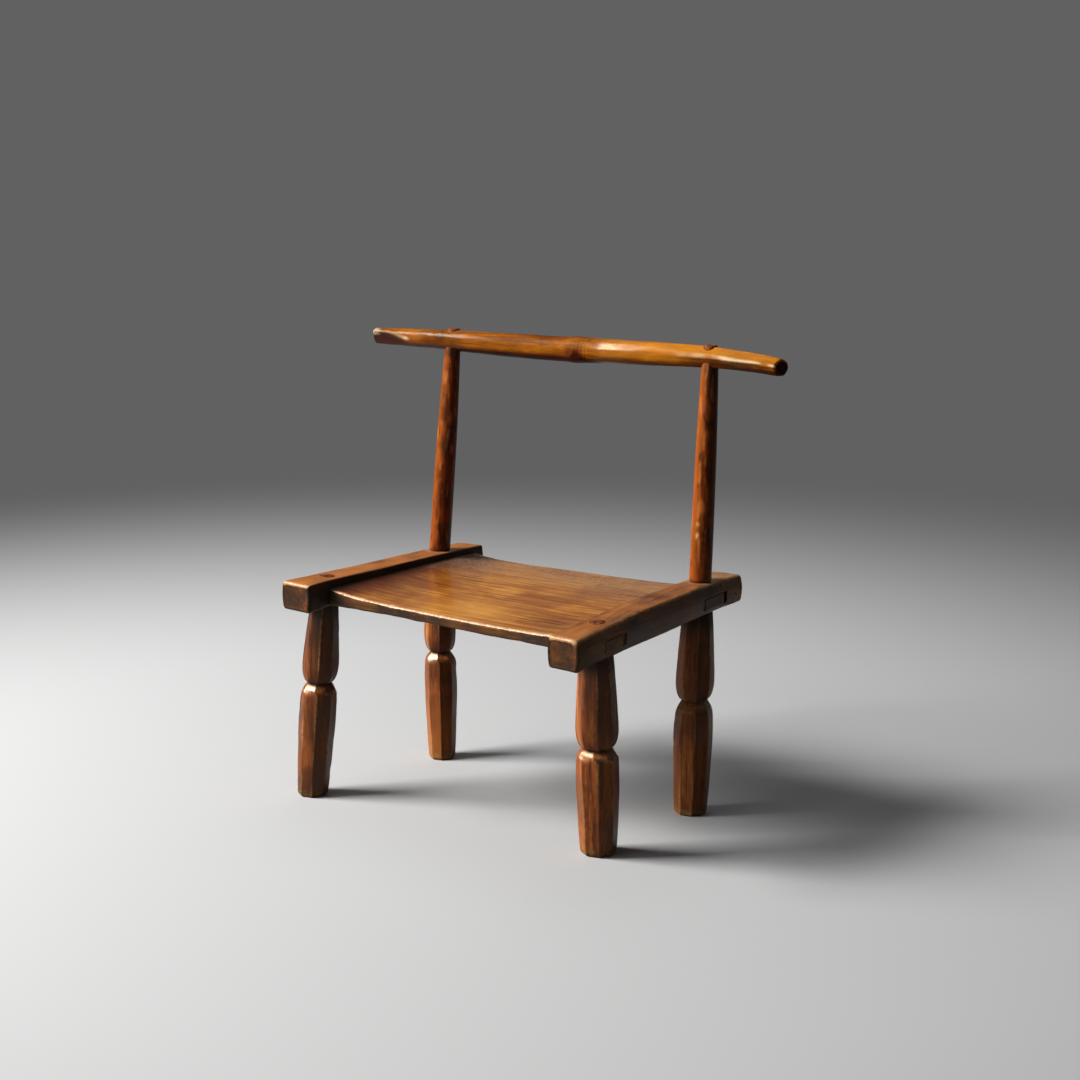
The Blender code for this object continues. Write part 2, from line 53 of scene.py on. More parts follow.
# Side rails
RAIL_LENGTH = 0.3654
RAIL_SPACING = 0.4294
RAIL_WIDTH = 0.0412
RAIL_SIDE_BOW = 0.0014
RAIL_UNDERSIDE = 0.2655
RAIL_CORNER = 0.0042
RAIL_END_ROUND = 0.0036
RAIL_RISE_SPAN = 0.1600
RAIL_FLARE_SPAN = 0.0360
RAIL_INNER_FLARE = 0.0022
FRAME_OFFSET = 0.0166
FRAME_PITCH = 0.0032
FRAME_TWIST = 0.0048
RAILS = {
    "left": Sizes(
        side=-1, front=0.0312, middle=0.0338, back=0.0302, rise=0.0040, worn=0.0160, drop=0.0024,
        outer_flare=(0.0045, 0.0), upper_rounds=(1.0, 0.5), seed=3,
        top_tone=0.54, front_tone=0.0, outer_wear=0.45, inner_wear=0.25, film=0.0,
    ),
    "right": Sizes(
        side=1, front=0.0380, middle=0.0414, back=0.0358, rise=0.0, worn=0.0036, drop=0.0020,
        outer_flare=(0.0004, 0.0028), upper_rounds=(1.7, 0.8), seed=5,
        top_tone=0.15, front_tone=0.35, outer_wear=0.75, inner_wear=0.70, film=0.38,
    ),
}

# Seat board, its tenons and their keys
SEAT_FRONT_SETBACK = 0.0385
SEAT_BACK_SETBACK = 0.0190
SEAT_RAISE = 0.0017
SEAT_END_THICKNESS = 0.0233
SEAT_SCOOP = 0.0062
SEAT_SCOOP_POWER = 5.0
SEAT_UNDERCUT = 0.0042
SEAT_BACK_FALL = 0.0028
SEAT_FALL_POWER = 4.0
SEAT_RIGHT_RISE = 0.0020  # of the top at the right front end
SEAT_RIGHT_UNDERCUT = 0.0042
TENON_THICKNESS = 0.0150
TENON_SHOULDER = 0.0012
TENON_ROOT = 0.0040
TENON_PROUD = 0.0006
KEY_THICKNESS = 0.0070
KEY_TAPER = 0.0024
KEY_INSET = 0.0050

# Legs
LEG_FACETS = 8
LEG_HEAD_TAPER = 0.0056
LEG_NECK_DEPTH = 0.0086
LEG_BELLY = 0.0250
LEG_SHOULDER = 0.0095
LEG_FLARE_POWER = 1.3
LEG_SWELL = 0.0006
LEG_FOOT_TAPER = 0.0038
LEG_TAPER_START = 0.35
LEG_TAPER_POWER = 1.5
LEG_FOOT_CHAMFER = 0.0024
LEG_CORNER_TURN = radians(37.0)
LEG_TENON_RADIUS = 0.0092
LEG_TENON_PROUD = 0.0008
# "turn" is the shoulder's in degrees, and "tones" are at the neck and above, and at the foot
LEGS = {
    "front_left": Sizes(
        rail=RAILS["left"], rear=False, setback=0.0580, head=(-0.0013, 0.0), foot=(-0.0186, -0.0110),
        shift=(-0.0018, -0.0013), girth=0.0245, neck=0.1088, bevel=0.0080, turn=-13.0,
        tenon=0.0360, key_depth=0.0006, tones=(-0.38, -0.38), seed=61,
    ),
    "front_right": Sizes(
        rail=RAILS["right"], rear=False, setback=0.0745, head=(-0.0020, 0.0), foot=(-0.0090, 0.0198),
        shift=(-0.0017, -0.0012), girth=0.0268, neck=0.1227, bevel=0.0070, turn=-18.0,
        tenon=0.0370, key_depth=0.0006, tones=(0.0, 0.0), seed=67,
    ),
    "rear_left": Sizes(
        rail=RAILS["left"], rear=True, setback=0.0724, head=(0.0018, -0.0030), foot=(0.0150, -0.0149),
        shift=(-0.0008, -0.0006), girth=0.0226, neck=0.1107, bevel=0.0080, turn=-12.0,
        tenon=0.0430, key_depth=0.0006, tones=(-0.08, 0.58), seed=73,
    ),
    "rear_right": Sizes(
        rail=RAILS["right"], rear=True, setback=0.0660, head=(0.0, -0.0050), foot=(-0.0026, -0.0063),
        shift=(0.0, 0.0), girth=0.0254, neck=0.1138, bevel=0.0120, turn=0.0,
        tenon=0.0450, key_depth=0.0140, tones=(0.0, 0.32), seed=79,
    ),
}

# Back posts, whose chips have a level and a width
POST_TENON_RADIUS = 0.0092
POST_SOCKET_DEPTH = 0.0240
POST_TOP_RADIUS = 0.0109
POST_TIP_RADIUS = 0.0086
POST_PROUD = 0.0026
POST_TIP_ROUND = 0.0022
POST_TAPER_POWER = 2.6
POSTS = {
    "left": Sizes(
        leg=LEGS["rear_left"], radius=0.0147, lean=(0.0054, 0.0276), tone=0.08, chips=(), seed=83,
    ),
    "right": Sizes(
        leg=LEGS["rear_right"], radius=0.0144, lean=(-0.0040, 0.0218), tone=0.25,
        chips=((0.3856, 0.0026), (0.3713, 0.0034)), seed=89,
    ),
}

# Crest rail
CREST_LENGTH = 0.6710
CREST_HEIGHT = 0.5938
CREST_RISE = 0.0078
CREST_RADIUS = 0.0166
CREST_SAG = 0.0024
CREST_SAG_PLACE = -0.0500
CREST_SAG_SPAN = 0.1500
CREST_LEFT_RADIUS = 0.0110
CREST_RIGHT_RADIUS = 0.0111
CREST_TAPER_POWER = 1.6
CREST_FLATTENING = 0.95
CREST_SQUARENESS = 2.3
CREST_LEFT_DROOP = 0.0016
CREST_RIGHT_DROOP = 0.0072
CREST_DROOP_START = 0.140
CREST_LEFT_ROUND = 0.0040
CREST_RIGHT_ROUND = 0.0030
CREST_KNOT_PLACE = 0.0200
CREST_KNOT_SWELL = 0.0012
CREST_KNOT_SPAN = 0.0120
CREST_FACET_LENGTH = 0.0740
CREST_END_SLANT = 0.0080  # the right end's front is cut back by this much

FRONT_END = -RAIL_LENGTH / 2
BACK_END = RAIL_LENGTH / 2
SEAT_FRONT = FRONT_END + SEAT_FRONT_SETBACK
SEAT_BACK = BACK_END - SEAT_BACK_SETBACK
SEAT_HALF_SPAN = RAIL_SPACING / 2 - RAIL_WIDTH / 2 - RAIL_SIDE_BOW - FIT_GAP
SEAT_UNDERSIDE = RAIL_UNDERSIDE + SEAT_RAISE
SEAT_TOP = SEAT_UNDERSIDE + SEAT_END_THICKNESS
LEG_HEAD = RAIL_UNDERSIDE - FIT_GAP

# A point of a skin, with the marks that its wood's material reads; the grime mark also carries painted shade,
# and the wear mark also carries painted highlights
MARKS = ("wear", "grime", "cut", "tone", "polish")
Spot = namedtuple("Spot", ("place",) + MARKS)


def spot(place, wear=0.0, grime=0.0, cut=0.0, tone=0.0, polish=0.0):
    return Spot(Vector(place), max(0.0, wear), max(0.0, grime), max(0.0, cut), tone, max(0.0, polish))


# Helpers


def ease(low, high, value):
    """0 up to low, 1 from high on, and a smooth rise between them."""
    share = min(1.0, max(0.0, (value - low) / (high - low)))
    return share * share * (3 - 2 * share)


def mix(first, second, share):
    return first + (second - first) * share


def hump(distance, width):
    return exp(-((distance / width) ** 2))


def soft_min(first, second, width):
    """The smaller of two values, with an eased corner where they cross."""
    return (first + second - sqrt((first - second) ** 2 + width * width)) / 2


def wander(seed, x=0.0, y=0.0, z=0.0):
    """Smooth noise from about -1 to 1, of its own for each seed."""
    return noise.noise(Vector((x + 17.31 * seed, y - 9.17 * seed, z + 5.73 * seed)))


def spread(first, last, count):
    """Evenly spaced values, without the last one."""
    return [mix(first, last, k / count) for k in range(count)]


def narrowed(span, edge):
    return span[0] + edge, span[1] - edge


def quarter_round(distance, radius):
    if distance >= radius:
        return 0.0
    return radius - sqrt(radius * radius - (radius - distance) ** 2)


def rounded_steps(radius, count):
    """Distances from the tip of a rounded end, evenly spaced round it."""
    return [radius * (1 - cos(pi / 2 * k / count)) for k in range(count + 1)]


def rounded_box(corners, corner_steps, side_steps, bow=0.0):
    """(across, up, normal's angle in degrees) round a box with (across, up, radius, start angle) corners.

    The sides after the first and third corner swell by the bow.
    """
    outline = []
    for k, (u, z, radius, start) in enumerate(corners):
        for step in range(corner_steps + 1):
            degrees = start + 90 * step / corner_steps
            angle = radians(degrees)
            outline.append((u + radius * cos(angle), z + radius * sin(angle), degrees))
        next_u, next_z, next_radius, _ = corners[(k + 1) % 4]
        out = Vector((cos(radians(start + 90)), sin(radians(start + 90))))
        first, last = Vector((u, z)) + radius * out, Vector((next_u, next_z)) + next_radius * out
        count, most = side_steps[k % 2], 0.0 if k % 2 else bow
        for step in range(1, count):
            share = step / count
            point = first.lerp(last, share) + most * 4 * share * (1 - share) * out
            outline.append((*point, start + 90))
    return outline


def lift(x, y):
    across = (x - FRAME_OFFSET) / (RAIL_SPACING / 2)
    along = y / (RAIL_LENGTH / 2)
    return (FRAME_PITCH + FRAME_TWIST * across) * along


def lifted(x, y, z):
    return Vector((x, y, z + lift(x, y)))


def middle_of(ring):
    return sum((s.place for s in ring), Vector()) / len(ring)


def moved(ring, move):
    return [s._replace(place=move(s.place)) for s in ring]


def roughened(rings, out, depth):
    """Pushes some rings outwards, by a depth for each place."""
    return [moved(ring, lambda place: place + out * depth(place)) for ring in rings]


def capped(ring, shares, dome=Vector(), **marks):
    """Rings that close an end, from its rim inwards."""
    centre = middle_of(ring)
    return [
        [spot(centre.lerp(s.place, share) + dome * (1 - share * share), **marks) for s in ring]
        for share in shares
    ]


UP = Vector((0, 0, 1))
CAP_SHARES = (0.93, 0.82, 0.66, 0.48, 0.30, 0.14)
TIP_SHARES = (0.85, 0.65, 0.42, 0.2)
SOLE_SHARES = (0.9, 0.7, 0.45, 0.2)
PEG_SHARES = (0.9, 0.72, 0.5, 0.3, 0.12)
HIDDEN_SHARES = (0.6, 0.2)
END_DENT = 0.0003  # of sawn ends of tenons and keys


def skin(name, rings, origin):
    """A closed mesh over rings of spots, with a fan of faces on both ends."""
    bm = bmesh.new()
    layers = [bm.verts.layers.float.new(mark) for mark in MARKS]
    made = bm.verts.layers.float.new("made")

    def put(s):
        vert = bm.verts.new(s.place - origin)
        for layer, value in zip(layers, s[1:]):
            vert[layer] = value
        vert[made] = 1.0
        return vert

    loops = [[put(s) for s in ring] for ring in rings]
    count = len(loops[0])
    for one, other in zip(loops, loops[1:]):
        for k in range(count):
            n = (k + 1) % count
            bm.faces.new((one[k], one[n], other[n], other[k]))
    for loop, ring in ((loops[0], rings[0]), (loops[-1], rings[-1])):
        tip = put(Spot(middle_of(ring), *ring[0][1:]))
        for k in range(count):
            bm.faces.new((loop[k], loop[(k + 1) % count], tip))
    bmesh.ops.recalc_face_normals(bm, faces=bm.faces)
    mesh = bpy.data.meshes.new(name)
    bm.to_mesh(mesh)
    bm.free()
    return mesh


SHARP_ANGLE = radians(48)
JOINT_GRIME = 0.2  # on the rims that a cut leaves


def carve(piece, origin, steps):
    """Joins or cuts away other shapes, given as (operation, rings)."""
    helpers = []
    for operation, rings in steps:
        helper = bpy.data.objects.new("helper", skin("helper", rings, origin))
        helper.location = origin
        bpy.context.collection.objects.link(helper)
        helpers.append(helper)
        modifier = piece.modifiers.new(operation, "BOOLEAN")
        modifier.operation = operation
        modifier.solver = "EXACT"
        modifier.object = helper
    depsgraph = bpy.context.evaluated_depsgraph_get()
    mesh = bpy.data.meshes.new_from_object(
        piece.evaluated_get(depsgraph), preserve_all_data_layers=True, depsgraph=depsgraph
    )
    piece.modifiers.clear()
    plain = piece.data
    piece.data = mesh
    bpy.data.meshes.remove(plain)
    for helper in helpers:
        shape = helper.data
        bpy.data.objects.remove(helper, do_unlink=True)
        bpy.data.meshes.remove(shape)
    grime, made = mesh.attributes["grime"].data, mesh.attributes["made"].data
    for k in range(len(made)):
        if made[k].value < 0.5:
            grime[k].value = JOINT_GRIME


def add_piece(node, slot, rings, origin, steps=()):
    """A piece that stands for a node of the part."""
    origin = Vector(origin)
    piece = bpy.data.objects.new(f"{node}_worn", skin(node, rings, origin))
    piece.location = origin
    bpy.context.collection.objects.link(piece)
    if steps:
        carve(piece, origin, steps)
    seeds = piece.data.attributes.new("seed", "FLOAT", "POINT")
    own = origin.x * 3.1 + origin.y * 1.7  # so that no two pieces have the same grain
    seeds.data.foreach_set("value", [own] * len(seeds.data))
    piece.data.shade_smooth()
    piece.data.set_sharp_from_angle(angle=SHARP_ANGLE)
    piece.data.materials.clear()
    piece.data.materials.append(WOODS[slot])
    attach(piece, "root")
    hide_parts(node)


# Wood materials


class Graph:
    """Adds nodes to a node tree and joins them."""

    def __init__(self, tree):
        self.tree = tree

    def node(self, kind, inputs, **settings):
        made = self.tree.nodes.new(kind)
        for key, value in settings.items():
            setattr(made, key, value)
        for socket, value in inputs.items():
            if isinstance(value, bpy.types.NodeSocket):
                self.tree.links.new(value, made.inputs[socket])
            else:
                made.inputs[socket].default_value = value
        return made

    def math(self, operation, first, second):
        return self.node("ShaderNodeMath", {0: first, 1: second}, operation=operation).outputs[0]

    def plus(self, base, value, factor):
        return self.math("ADD", base, self.math("MULTIPLY", value, factor))

    def vector(self, operation, first, second):
        return self.node("ShaderNodeVectorMath", {0: first, 1: second}, operation=operation).outputs[0]

    def ease(self, value, low, high, start=0.0, end=1.0):
        inputs = {0: value, 1: low, 2: high, 3: start, 4: end}
        return self.node("ShaderNodeMapRange", inputs, interpolation_type="SMOOTHSTEP").outputs[0]

    def blend(self, share, first, second, kind="MIX"):
        inputs = {0: share, 6: first, 7: second}
        return self.node("ShaderNodeMix", inputs, data_type="RGBA", blend_type=kind).outputs[2]

    def noise(self, place, scale, detail=2.0, rough=0.5, output=0):
        inputs = {"Vector": place, "Scale": scale, "Detail": detail, "Roughness": rough}
        return self.node("ShaderNodeTexNoise", inputs).outputs[output]

    def mark(self, name):
        return self.node("ShaderNodeAttribute", {}, attribute_name=name).outputs["Fac"]


VARNISH = (1.0, 0.80, 0.56, 1.0)  # old polish tints what the wood reflects
POLISHING = 0.26  # what full polish adds to the reflections, and takes from the roughness
LEAST_ROUGH = 0.10
RELIEF = 0.0004
WAVE_PERIOD = 0.314  # between the rings of a wave texture at scale 1
LONG_STRETCH = 9.0  # of patterns along the grain
FINE_STRETCH = 22.0
FIBRE_SCALE = 46.0
PIT_SCALE = 105.0
RUB_SCALE = 210.0


def wood(
    name, along, colours, pith, layer, sway, drift, streak, band, lines, cloud, contrast, shade, rough, bump,
    gloss, figure=0.45, pores=0.40, stretch=LONG_STRETCH, speckle=0.75, polished=True,
):
    """Worn wood with its grain along an axis of the object."""
    material = bpy.data.materials.new(name)
    material.use_nodes = True
    g = Graph(material.node_tree)
    shader = material.node_tree.nodes["Principled BSDF"]
    dark, mid, light, bare_and_highlight, dirt_and_shade, end_grain = ((*colour, 1.0) for colour in colours)

    place = g.node("ShaderNodeTexCoord", {}).outputs["Object"]
    own = g.node("ShaderNodeCombineXYZ", {axis: g.mark("seed") for axis in range(3)}).outputs[0]
    shifted = g.vector("ADD", place, own)
    long_place, streak_place, fine_place = (
        g.vector("MULTIPLY", shifted, tuple(1.0 if axis == along else factor for axis in range(3)))
        for factor in (LONG_STRETCH, stretch, FINE_STRETCH)
    )

    # growth layers round a pith that lies off the piece's axis, and wanders
    swing = g.vector("SUBTRACT", g.noise(long_place, sway, output=1), (0.5, 0.5, 0.5))
    bent = g.vector("ADD", place, g.vector("MULTIPLY", swing, (drift,) * 3))
    wave = g.node(
        "ShaderNodeTexWave", {"Vector": g.vector("ADD", bent, pith), "Scale": WAVE_PERIOD / layer},
        wave_type="RINGS", rings_direction="XYZ"[along], wave_profile="SAW",
    )
    layers = g.ease(wave.outputs["Fac"], 0.15, 1.0)
    streaks = g.ease(g.noise(streak_place, streak, 4.0, 0.62), 0.42, 0.60)
    bands = g.noise(fine_place, band, 3.0, 0.55)
    fibres = g.noise(fine_place, FIBRE_SCALE, 3.0, 0.6)
    pits = g.ease(g.noise(fine_place, PIT_SCALE), 0.60, 0.70)
    patina = g.noise(shifted, cloud, 3.0, 0.55)
    rub = g.noise(shifted, RUB_SCALE, 3.0, 0.6)

    body = g.blend(g.math("MULTIPLY", layers, figure), mid, dark)
    body = g.blend(g.math("MULTIPLY", streaks, contrast), body, light)
    for pattern, start, full, most, tint in (
        (bands, 0.50, 0.38, lines, dark), (bands, 0.54, 0.66, lines, light),
        (patina, 0.58, 0.38, shade, dark), (fibres, 0.56, 0.38, 0.40, dark),
    ):
        body = g.blend(g.ease(pattern, start, full, 0.0, most), body, tint)
    body = g.blend(g.math("MULTIPLY", pits, pores), body, dirt_and_shade)
    wear, grime, cut, tone, polish = (g.mark(mark) for mark in MARKS)
    sawn = g.blend(g.ease(rub, 0.62, 0.38, 0.0, 0.7), end_grain, dirt_and_shade)
    sawn = g.blend(g.ease(patina, 0.50, 0.66, 0.0, 0.5), sawn, body)
    body = g.blend(cut, body, sawn)
    darker = g.math("MAXIMUM", g.math("MULTIPLY", tone, -1.0), 0.0)
    body = g.blend(darker, body, dark, "MULTIPLY")
    body = g.blend(g.math("MAXIMUM", tone, 0.0), body, light)
    # Darkening towards the dirt colour: real dirt, and also painted shade where the pieces mark it
    grime_and_shade_share = g.math("MULTIPLY", grime, g.ease(patina, 0.25, 0.6, 0.65, 1.0))
    body = g.blend(grime_and_shade_share, body, dirt_and_shade)
    # Lightening towards bare wood: real wear, and also painted highlights where the pieces mark it
    rubbed_and_highlit = g.math("MULTIPLY", wear, g.ease(rub, 0.34, 0.60, 1.0 - speckle, 1.0))
    body = g.blend(rubbed_and_highlit, body, bare_and_highlight)
    g.tree.links.new(body, shader.inputs["Base Color"])

    rough = g.math("ADD", rough, g.ease(patina, 0.3, 0.7, -0.05, 0.07))
    for value, change in ((grime_and_shade_share, 0.22), (cut, 0.24), (pits, 0.12), (polish, -POLISHING)):
        rough = g.plus(rough, value, change)
    g.tree.links.new(g.math("MAXIMUM", rough, LEAST_ROUGH), shader.inputs["Roughness"])

    height = g.plus(g.math("MULTIPLY", fibres, 0.5), layers, -0.18)
    height = g.plus(height, pits, -0.5)
    height = g.plus(height, rub, g.ease(cut, 0.0, 1.0, 0.18, 0.9))
    relief = g.node("ShaderNodeBump", {"Strength": bump, "Distance": RELIEF, "Height": height})
    g.tree.links.new(relief.outputs["Normal"], shader.inputs["Normal"])
    shader.inputs["Specular IOR Level"].default_value = gloss
    if polished:
        g.tree.links.new(g.plus(gloss, polish, POLISHING), shader.inputs["Specular IOR Level"])
    shader.inputs["Metallic"].default_value = 0.0
    shader.inputs["Specular Tint"].default_value = VARNISH
    return material


LOOKS = {  # the colours are dark, middle and light wood, bare wood (also the colour of painted highlights), dirt (also the colour of painted shade) and end grain
    "rail_wood": dict(
        along=1, colours=(
            (0.085, 0.022, 0.005), (0.285, 0.082, 0.017), (0.540, 0.175, 0.032),
            (0.720, 0.420, 0.220), (0.010, 0.005, 0.003), (0.066, 0.022, 0.010),
        ),
        pith=(0.012, 0.0, 0.030), layer=0.0042, sway=3.2, drift=0.016, streak=9.0, band=13.0, lines=0.60,
        cloud=17.0, contrast=0.60, shade=0.75, rough=0.36, bump=0.28, gloss=0.36, figure=0.50, stretch=7.0,
    ),
    "seat_wood": dict(
        along=0, colours=(
            (0.240, 0.060, 0.008), (0.600, 0.205, 0.026), (0.860, 0.395, 0.072),
            (0.880, 0.600, 0.400), (0.022, 0.009, 0.005), (0.070, 0.025, 0.010),
        ),
        pith=(0.0, -0.035, 0.090), layer=0.0090, sway=2.2, drift=0.024, streak=12.0, band=10.0, lines=0.55,
        cloud=11.0, contrast=0.65, shade=0.50, rough=0.20, bump=0.11, gloss=0.40, pores=0.50,
    ),
    "leg_wood": dict(
        along=2, colours=(
            (0.085, 0.017, 0.005), (0.365, 0.075, 0.016), (0.670, 0.220, 0.050),
            (0.740, 0.370, 0.140), (0.010, 0.004, 0.003), (0.400, 0.240, 0.075),
        ),
        pith=(0.016, 0.010, 0.0), layer=0.0046, sway=3.0, drift=0.014, streak=7.0, band=8.0, lines=0.75,
        cloud=15.0, contrast=0.65, shade=0.70, rough=0.47, bump=0.30, gloss=0.40, pores=0.50,
    ),
    "post_wood": dict(
        along=2, colours=(
            (0.060, 0.010, 0.002), (0.250, 0.039, 0.004), (0.480, 0.110, 0.010),
            (0.700, 0.340, 0.120), (0.013, 0.005, 0.003), (0.300, 0.095, 0.018),
        ),
        pith=(0.004, 0.003, 0.0), layer=0.0034, sway=3.0, drift=0.010, streak=10.0, band=13.0, lines=0.65,
        cloud=30.0, contrast=0.55, shade=0.90, rough=0.29, bump=0.42, gloss=0.28, pores=0.65, polished=False,
    ),
    "crest_wood": dict(
        along=0, colours=(
            (0.150, 0.033, 0.001), (0.450, 0.126, 0.003), (0.720, 0.260, 0.014),
            (0.920, 0.680, 0.400), (0.024, 0.007, 0.002), (0.026, 0.011, 0.006),
        ),
        pith=(0.0, 0.003, 0.002), layer=0.0036, sway=2.4, drift=0.010, streak=7.0, band=7.0, lines=0.50,
        cloud=13.0, contrast=0.50, shade=0.70, rough=0.43, bump=0.14, gloss=0.09, figure=0.40, speckle=0.25,
    ),
    "key_wood": dict(
        along=0, colours=(
            (0.100, 0.040, 0.018), (0.200, 0.084, 0.034), (0.300, 0.140, 0.060),
            (0.450, 0.260, 0.140), (0.030, 0.015, 0.008), (0.240, 0.115, 0.052),
        ),
        pith=(0.0, 0.010, 0.008), layer=0.0024, sway=4.0, drift=0.008, streak=14.0, band=20.0, lines=0.40,
        cloud=40.0, contrast=0.40, shade=0.60, rough=0.48, bump=0.40, gloss=0.30, figure=0.40, polished=False,
    ),
}
WOODS = {name: wood(f"{name}_worn", **look) for name, look in LOOKS.items()}


# Side rails


def rail_x(rail):
    return FRAME_OFFSET + rail.side * RAIL_SPACING / 2


def rail_height(rail, y):
    along = y / (RAIL_LENGTH / 2)
    slope = (rail.back - rail.front) / 2
    crown = rail.middle - (rail.back + rail.front) / 2
    rise = rail.rise * ease(RAIL_RISE_SPAN, 0.0, y - FRONT_END)
    return rail.middle + slope * along - crown * along * along + rise


def rail_top(rail, x, y):
    return RAIL_UNDERSIDE + rail_height(rail, y) + lift(x, y)


def joint_y(leg):
    return BACK_END - leg.setback if leg.rear else FRONT_END + leg.setback


def post_over(piece):
    """The post that stands over a rail or a rear leg."""
    return next(post for post in POSTS.values() if piece is post.leg or piece is post.leg.rail)


RAIL_CORNER_STEPS = 8
RAIL_SIDE_STEPS = (10, 14)  # on upright and level sides
RAIL_STATIONS = 96
RAIL_CALM = 0.004  # near the ends, nothing stands out


def rail_outline(rail, y):
    """(outwards, height, normal's angle) round a rail's section, from its lower outer corner."""
    from_front, from_back = y - FRONT_END, BACK_END - y
    inset = max(quarter_round(from_front, RAIL_END_ROUND), quarter_round(from_back, RAIL_END_ROUND))
    at_front, at_back = (max(0.0, 1 - d / RAIL_FLARE_SPAN) for d in (from_front, from_back))
    flare = rail.outer_flare[0] * at_front + rail.outer_flare[1] * at_back
    outer = RAIL_WIDTH / 2 + flare - max(inset, quarter_round(from_back, rail.worn))
    inner = RAIL_WIDTH / 2 + RAIL_INNER_FLARE * at_front - inset
    bottom = RAIL_UNDERSIDE - rail.drop * at_front + inset
    top = RAIL_UNDERSIDE + rail_height(rail, y) - inset
    low, high, far_high, far_low = (
        RAIL_CORNER * share
        * (1 + 0.30 * wander(rail.seed + k, 0, y * 22) + 0.14 * wander(rail.seed + k, 3, y * 70))
        for k, share in enumerate((1.0, *rail.upper_rounds, 1.0))
    )
    corners = (
        (outer - low, bottom + low, low, -90), (outer - high, top - high, high, 0),
        (far_high - inner, top - far_high, far_high, 90), (far_low - inner, bottom + far_low, far_low, 180),
    )
    return rounded_box(corners, RAIL_CORNER_STEPS, RAIL_SIDE_STEPS, RAIL_SIDE_BOW)


def rail_ring(rail, y):
    seed, post = rail.seed, post_over(rail)
    from_front, from_back = y - FRONT_END, BACK_END - y
    end_edge = max(hump(from_front - 0.0008, 0.0030), hump(from_back - 0.0008, 0.0030))
    ring = []
    for u, z, degrees in rail_outline(rail, y):
        angle = radians(degrees)
        uneven = 0.00040 * wander(seed, u * 26, y * 10, z * 26)
        uneven += 0.00016 * wander(seed + 9, u * 80, y * 46, z * 80)
        if min(from_front, from_back) < RAIL_CALM:
            uneven = min(uneven, 0.0)
        x = rail_x(rail) + rail.side * (u + uneven * cos(angle))
        place = lifted(x, y, z + uneven * sin(angle))
        on_top = ease(30, 62, degrees) * ease(150, 118, degrees)
        inside = ease(150, 172, degrees) * ease(215, 195, degrees)
        outside = ease(-40, -10, degrees) * ease(35, 12, degrees)
        upper = rail.outer_wear * hump(degrees - 48, 30) + rail.inner_wear * hump(degrees - 135, 24)
        patchy = 0.55 + 0.70 * wander(seed + 20, degrees / 40, y * 34)
        # real wear and a painted highlight along the top edge of each end
        end_wear_and_highlight = end_edge * on_top * (0.75 + 0.6 * wander(seed + 21, u * 70, 0, z * 90))
        # painted reflection: a pale sheen over the back of the right rail's top and outer face
        film = rail.film * ease(0.085, 0.030, from_back) * (on_top + outside)
        # painted glint on the rail's top round the foot of each post
        post_glint = on_top * hump(hypot(u, y - joint_y(post.leg)) - post.radius - 0.0022, 0.0032)
        wear = upper * patchy + end_wear_and_highlight + film + 0.45 * post_glint
        # painted shade: the inner face, the seat line along it and the underside are darkened; the outer face
        # is also darker near the front
        seat_line = hump(SEAT_TOP - z + 0.001, 0.0045) * ease(SEAT_FRONT - 0.02, SEAT_FRONT + 0.012, y)
        grime = inside * (1.1 + 0.3 * seat_line) + 0.5 * (degrees > 215 or degrees < -45)
        grime += 0.7 * outside * hump(from_front - 0.014, 0.017)
        stain = max(0.0, wander(seed + 31, u * 20, y * 26, z * 45) + 0.15)
        tone = 0.20 * wander(seed + 30, u * 30, y * 14, z * 30)
        tone += on_top * (rail.top_tone + rail.front_tone * ease(0.10, 0.03, from_front))
        tone += 0.45 * on_top * wander(seed + 33, u * 55, y * 30)
        # painted shade also darkens the inner face's tone
        tone -= outside * (0.25 + 0.8 * stain) + 0.4 * inside
        sawn = (1 - 0.85 * on_top) * ease(RAIL_END_ROUND, 0.0004, min(from_front, from_back))
        polish = 0.5 * end_wear_and_highlight + 0.25 * upper + 0.6 * post_glint
        ring.append(spot(place, wear, grime, 0.9 * sawn, tone, polish))
    return ring


def rail_rings(rail):
    ends, worn = rounded_steps(RAIL_END_ROUND, 8), rounded_steps(rail.worn, 12)
    places = [FRONT_END + d for d in ends[:-1]]
    places += spread(FRONT_END + RAIL_END_ROUND, BACK_END - rail.worn, RAIL_STATIONS)
    places += [BACK_END - d for d in reversed(worn) if d > RAIL_END_ROUND]
    places += [BACK_END - d for d in reversed(ends)]
    rings = [rail_ring(rail, y) for y in places]

    def dent(place):
        x, y, z = place
        coarse = 0.00035 * (1 + wander(rail.seed + 40, x * 60, y, z * 60))
        return coarse + 0.00015 * (1 + wander(rail.seed + 41, x * 210, y, z * 210))

    front, back = (
        roughened(capped(ring, CAP_SHARES, cut=1.0), Vector((0, inwards, 0)), dent)
        for ring, inwards in ((rings[0], 1), (rings[-1], -1))
    )
    return front[::-1] + rings + back


# Seat board


def seat_fall(y):
    share = max(0.0, (y - SEAT_FRONT) / (SEAT_BACK - SEAT_FRONT))
    return SEAT_BACK_FALL * share**SEAT_FALL_POWER


SEAT_SEED = 11
SEAT_TOP_ROUND = 0.0028
SEAT_BACK_ROUND = SEAT_TOP_ROUND * 1.15
SEAT_LOW_ROUND = 0.0034
SEAT_STATIONS = 190
SEAT_CROWDING = 1.25  # of the stations towards the board's ends
SEAT_TOP_STEPS = 64
SEAT_LOW_STEPS = 30
SEAT_ARC_STEPS = 7
SEAT_NICKS = (-0.150, -0.118, -0.071, -0.020, 0.014, 0.066, 0.103, 0.157)


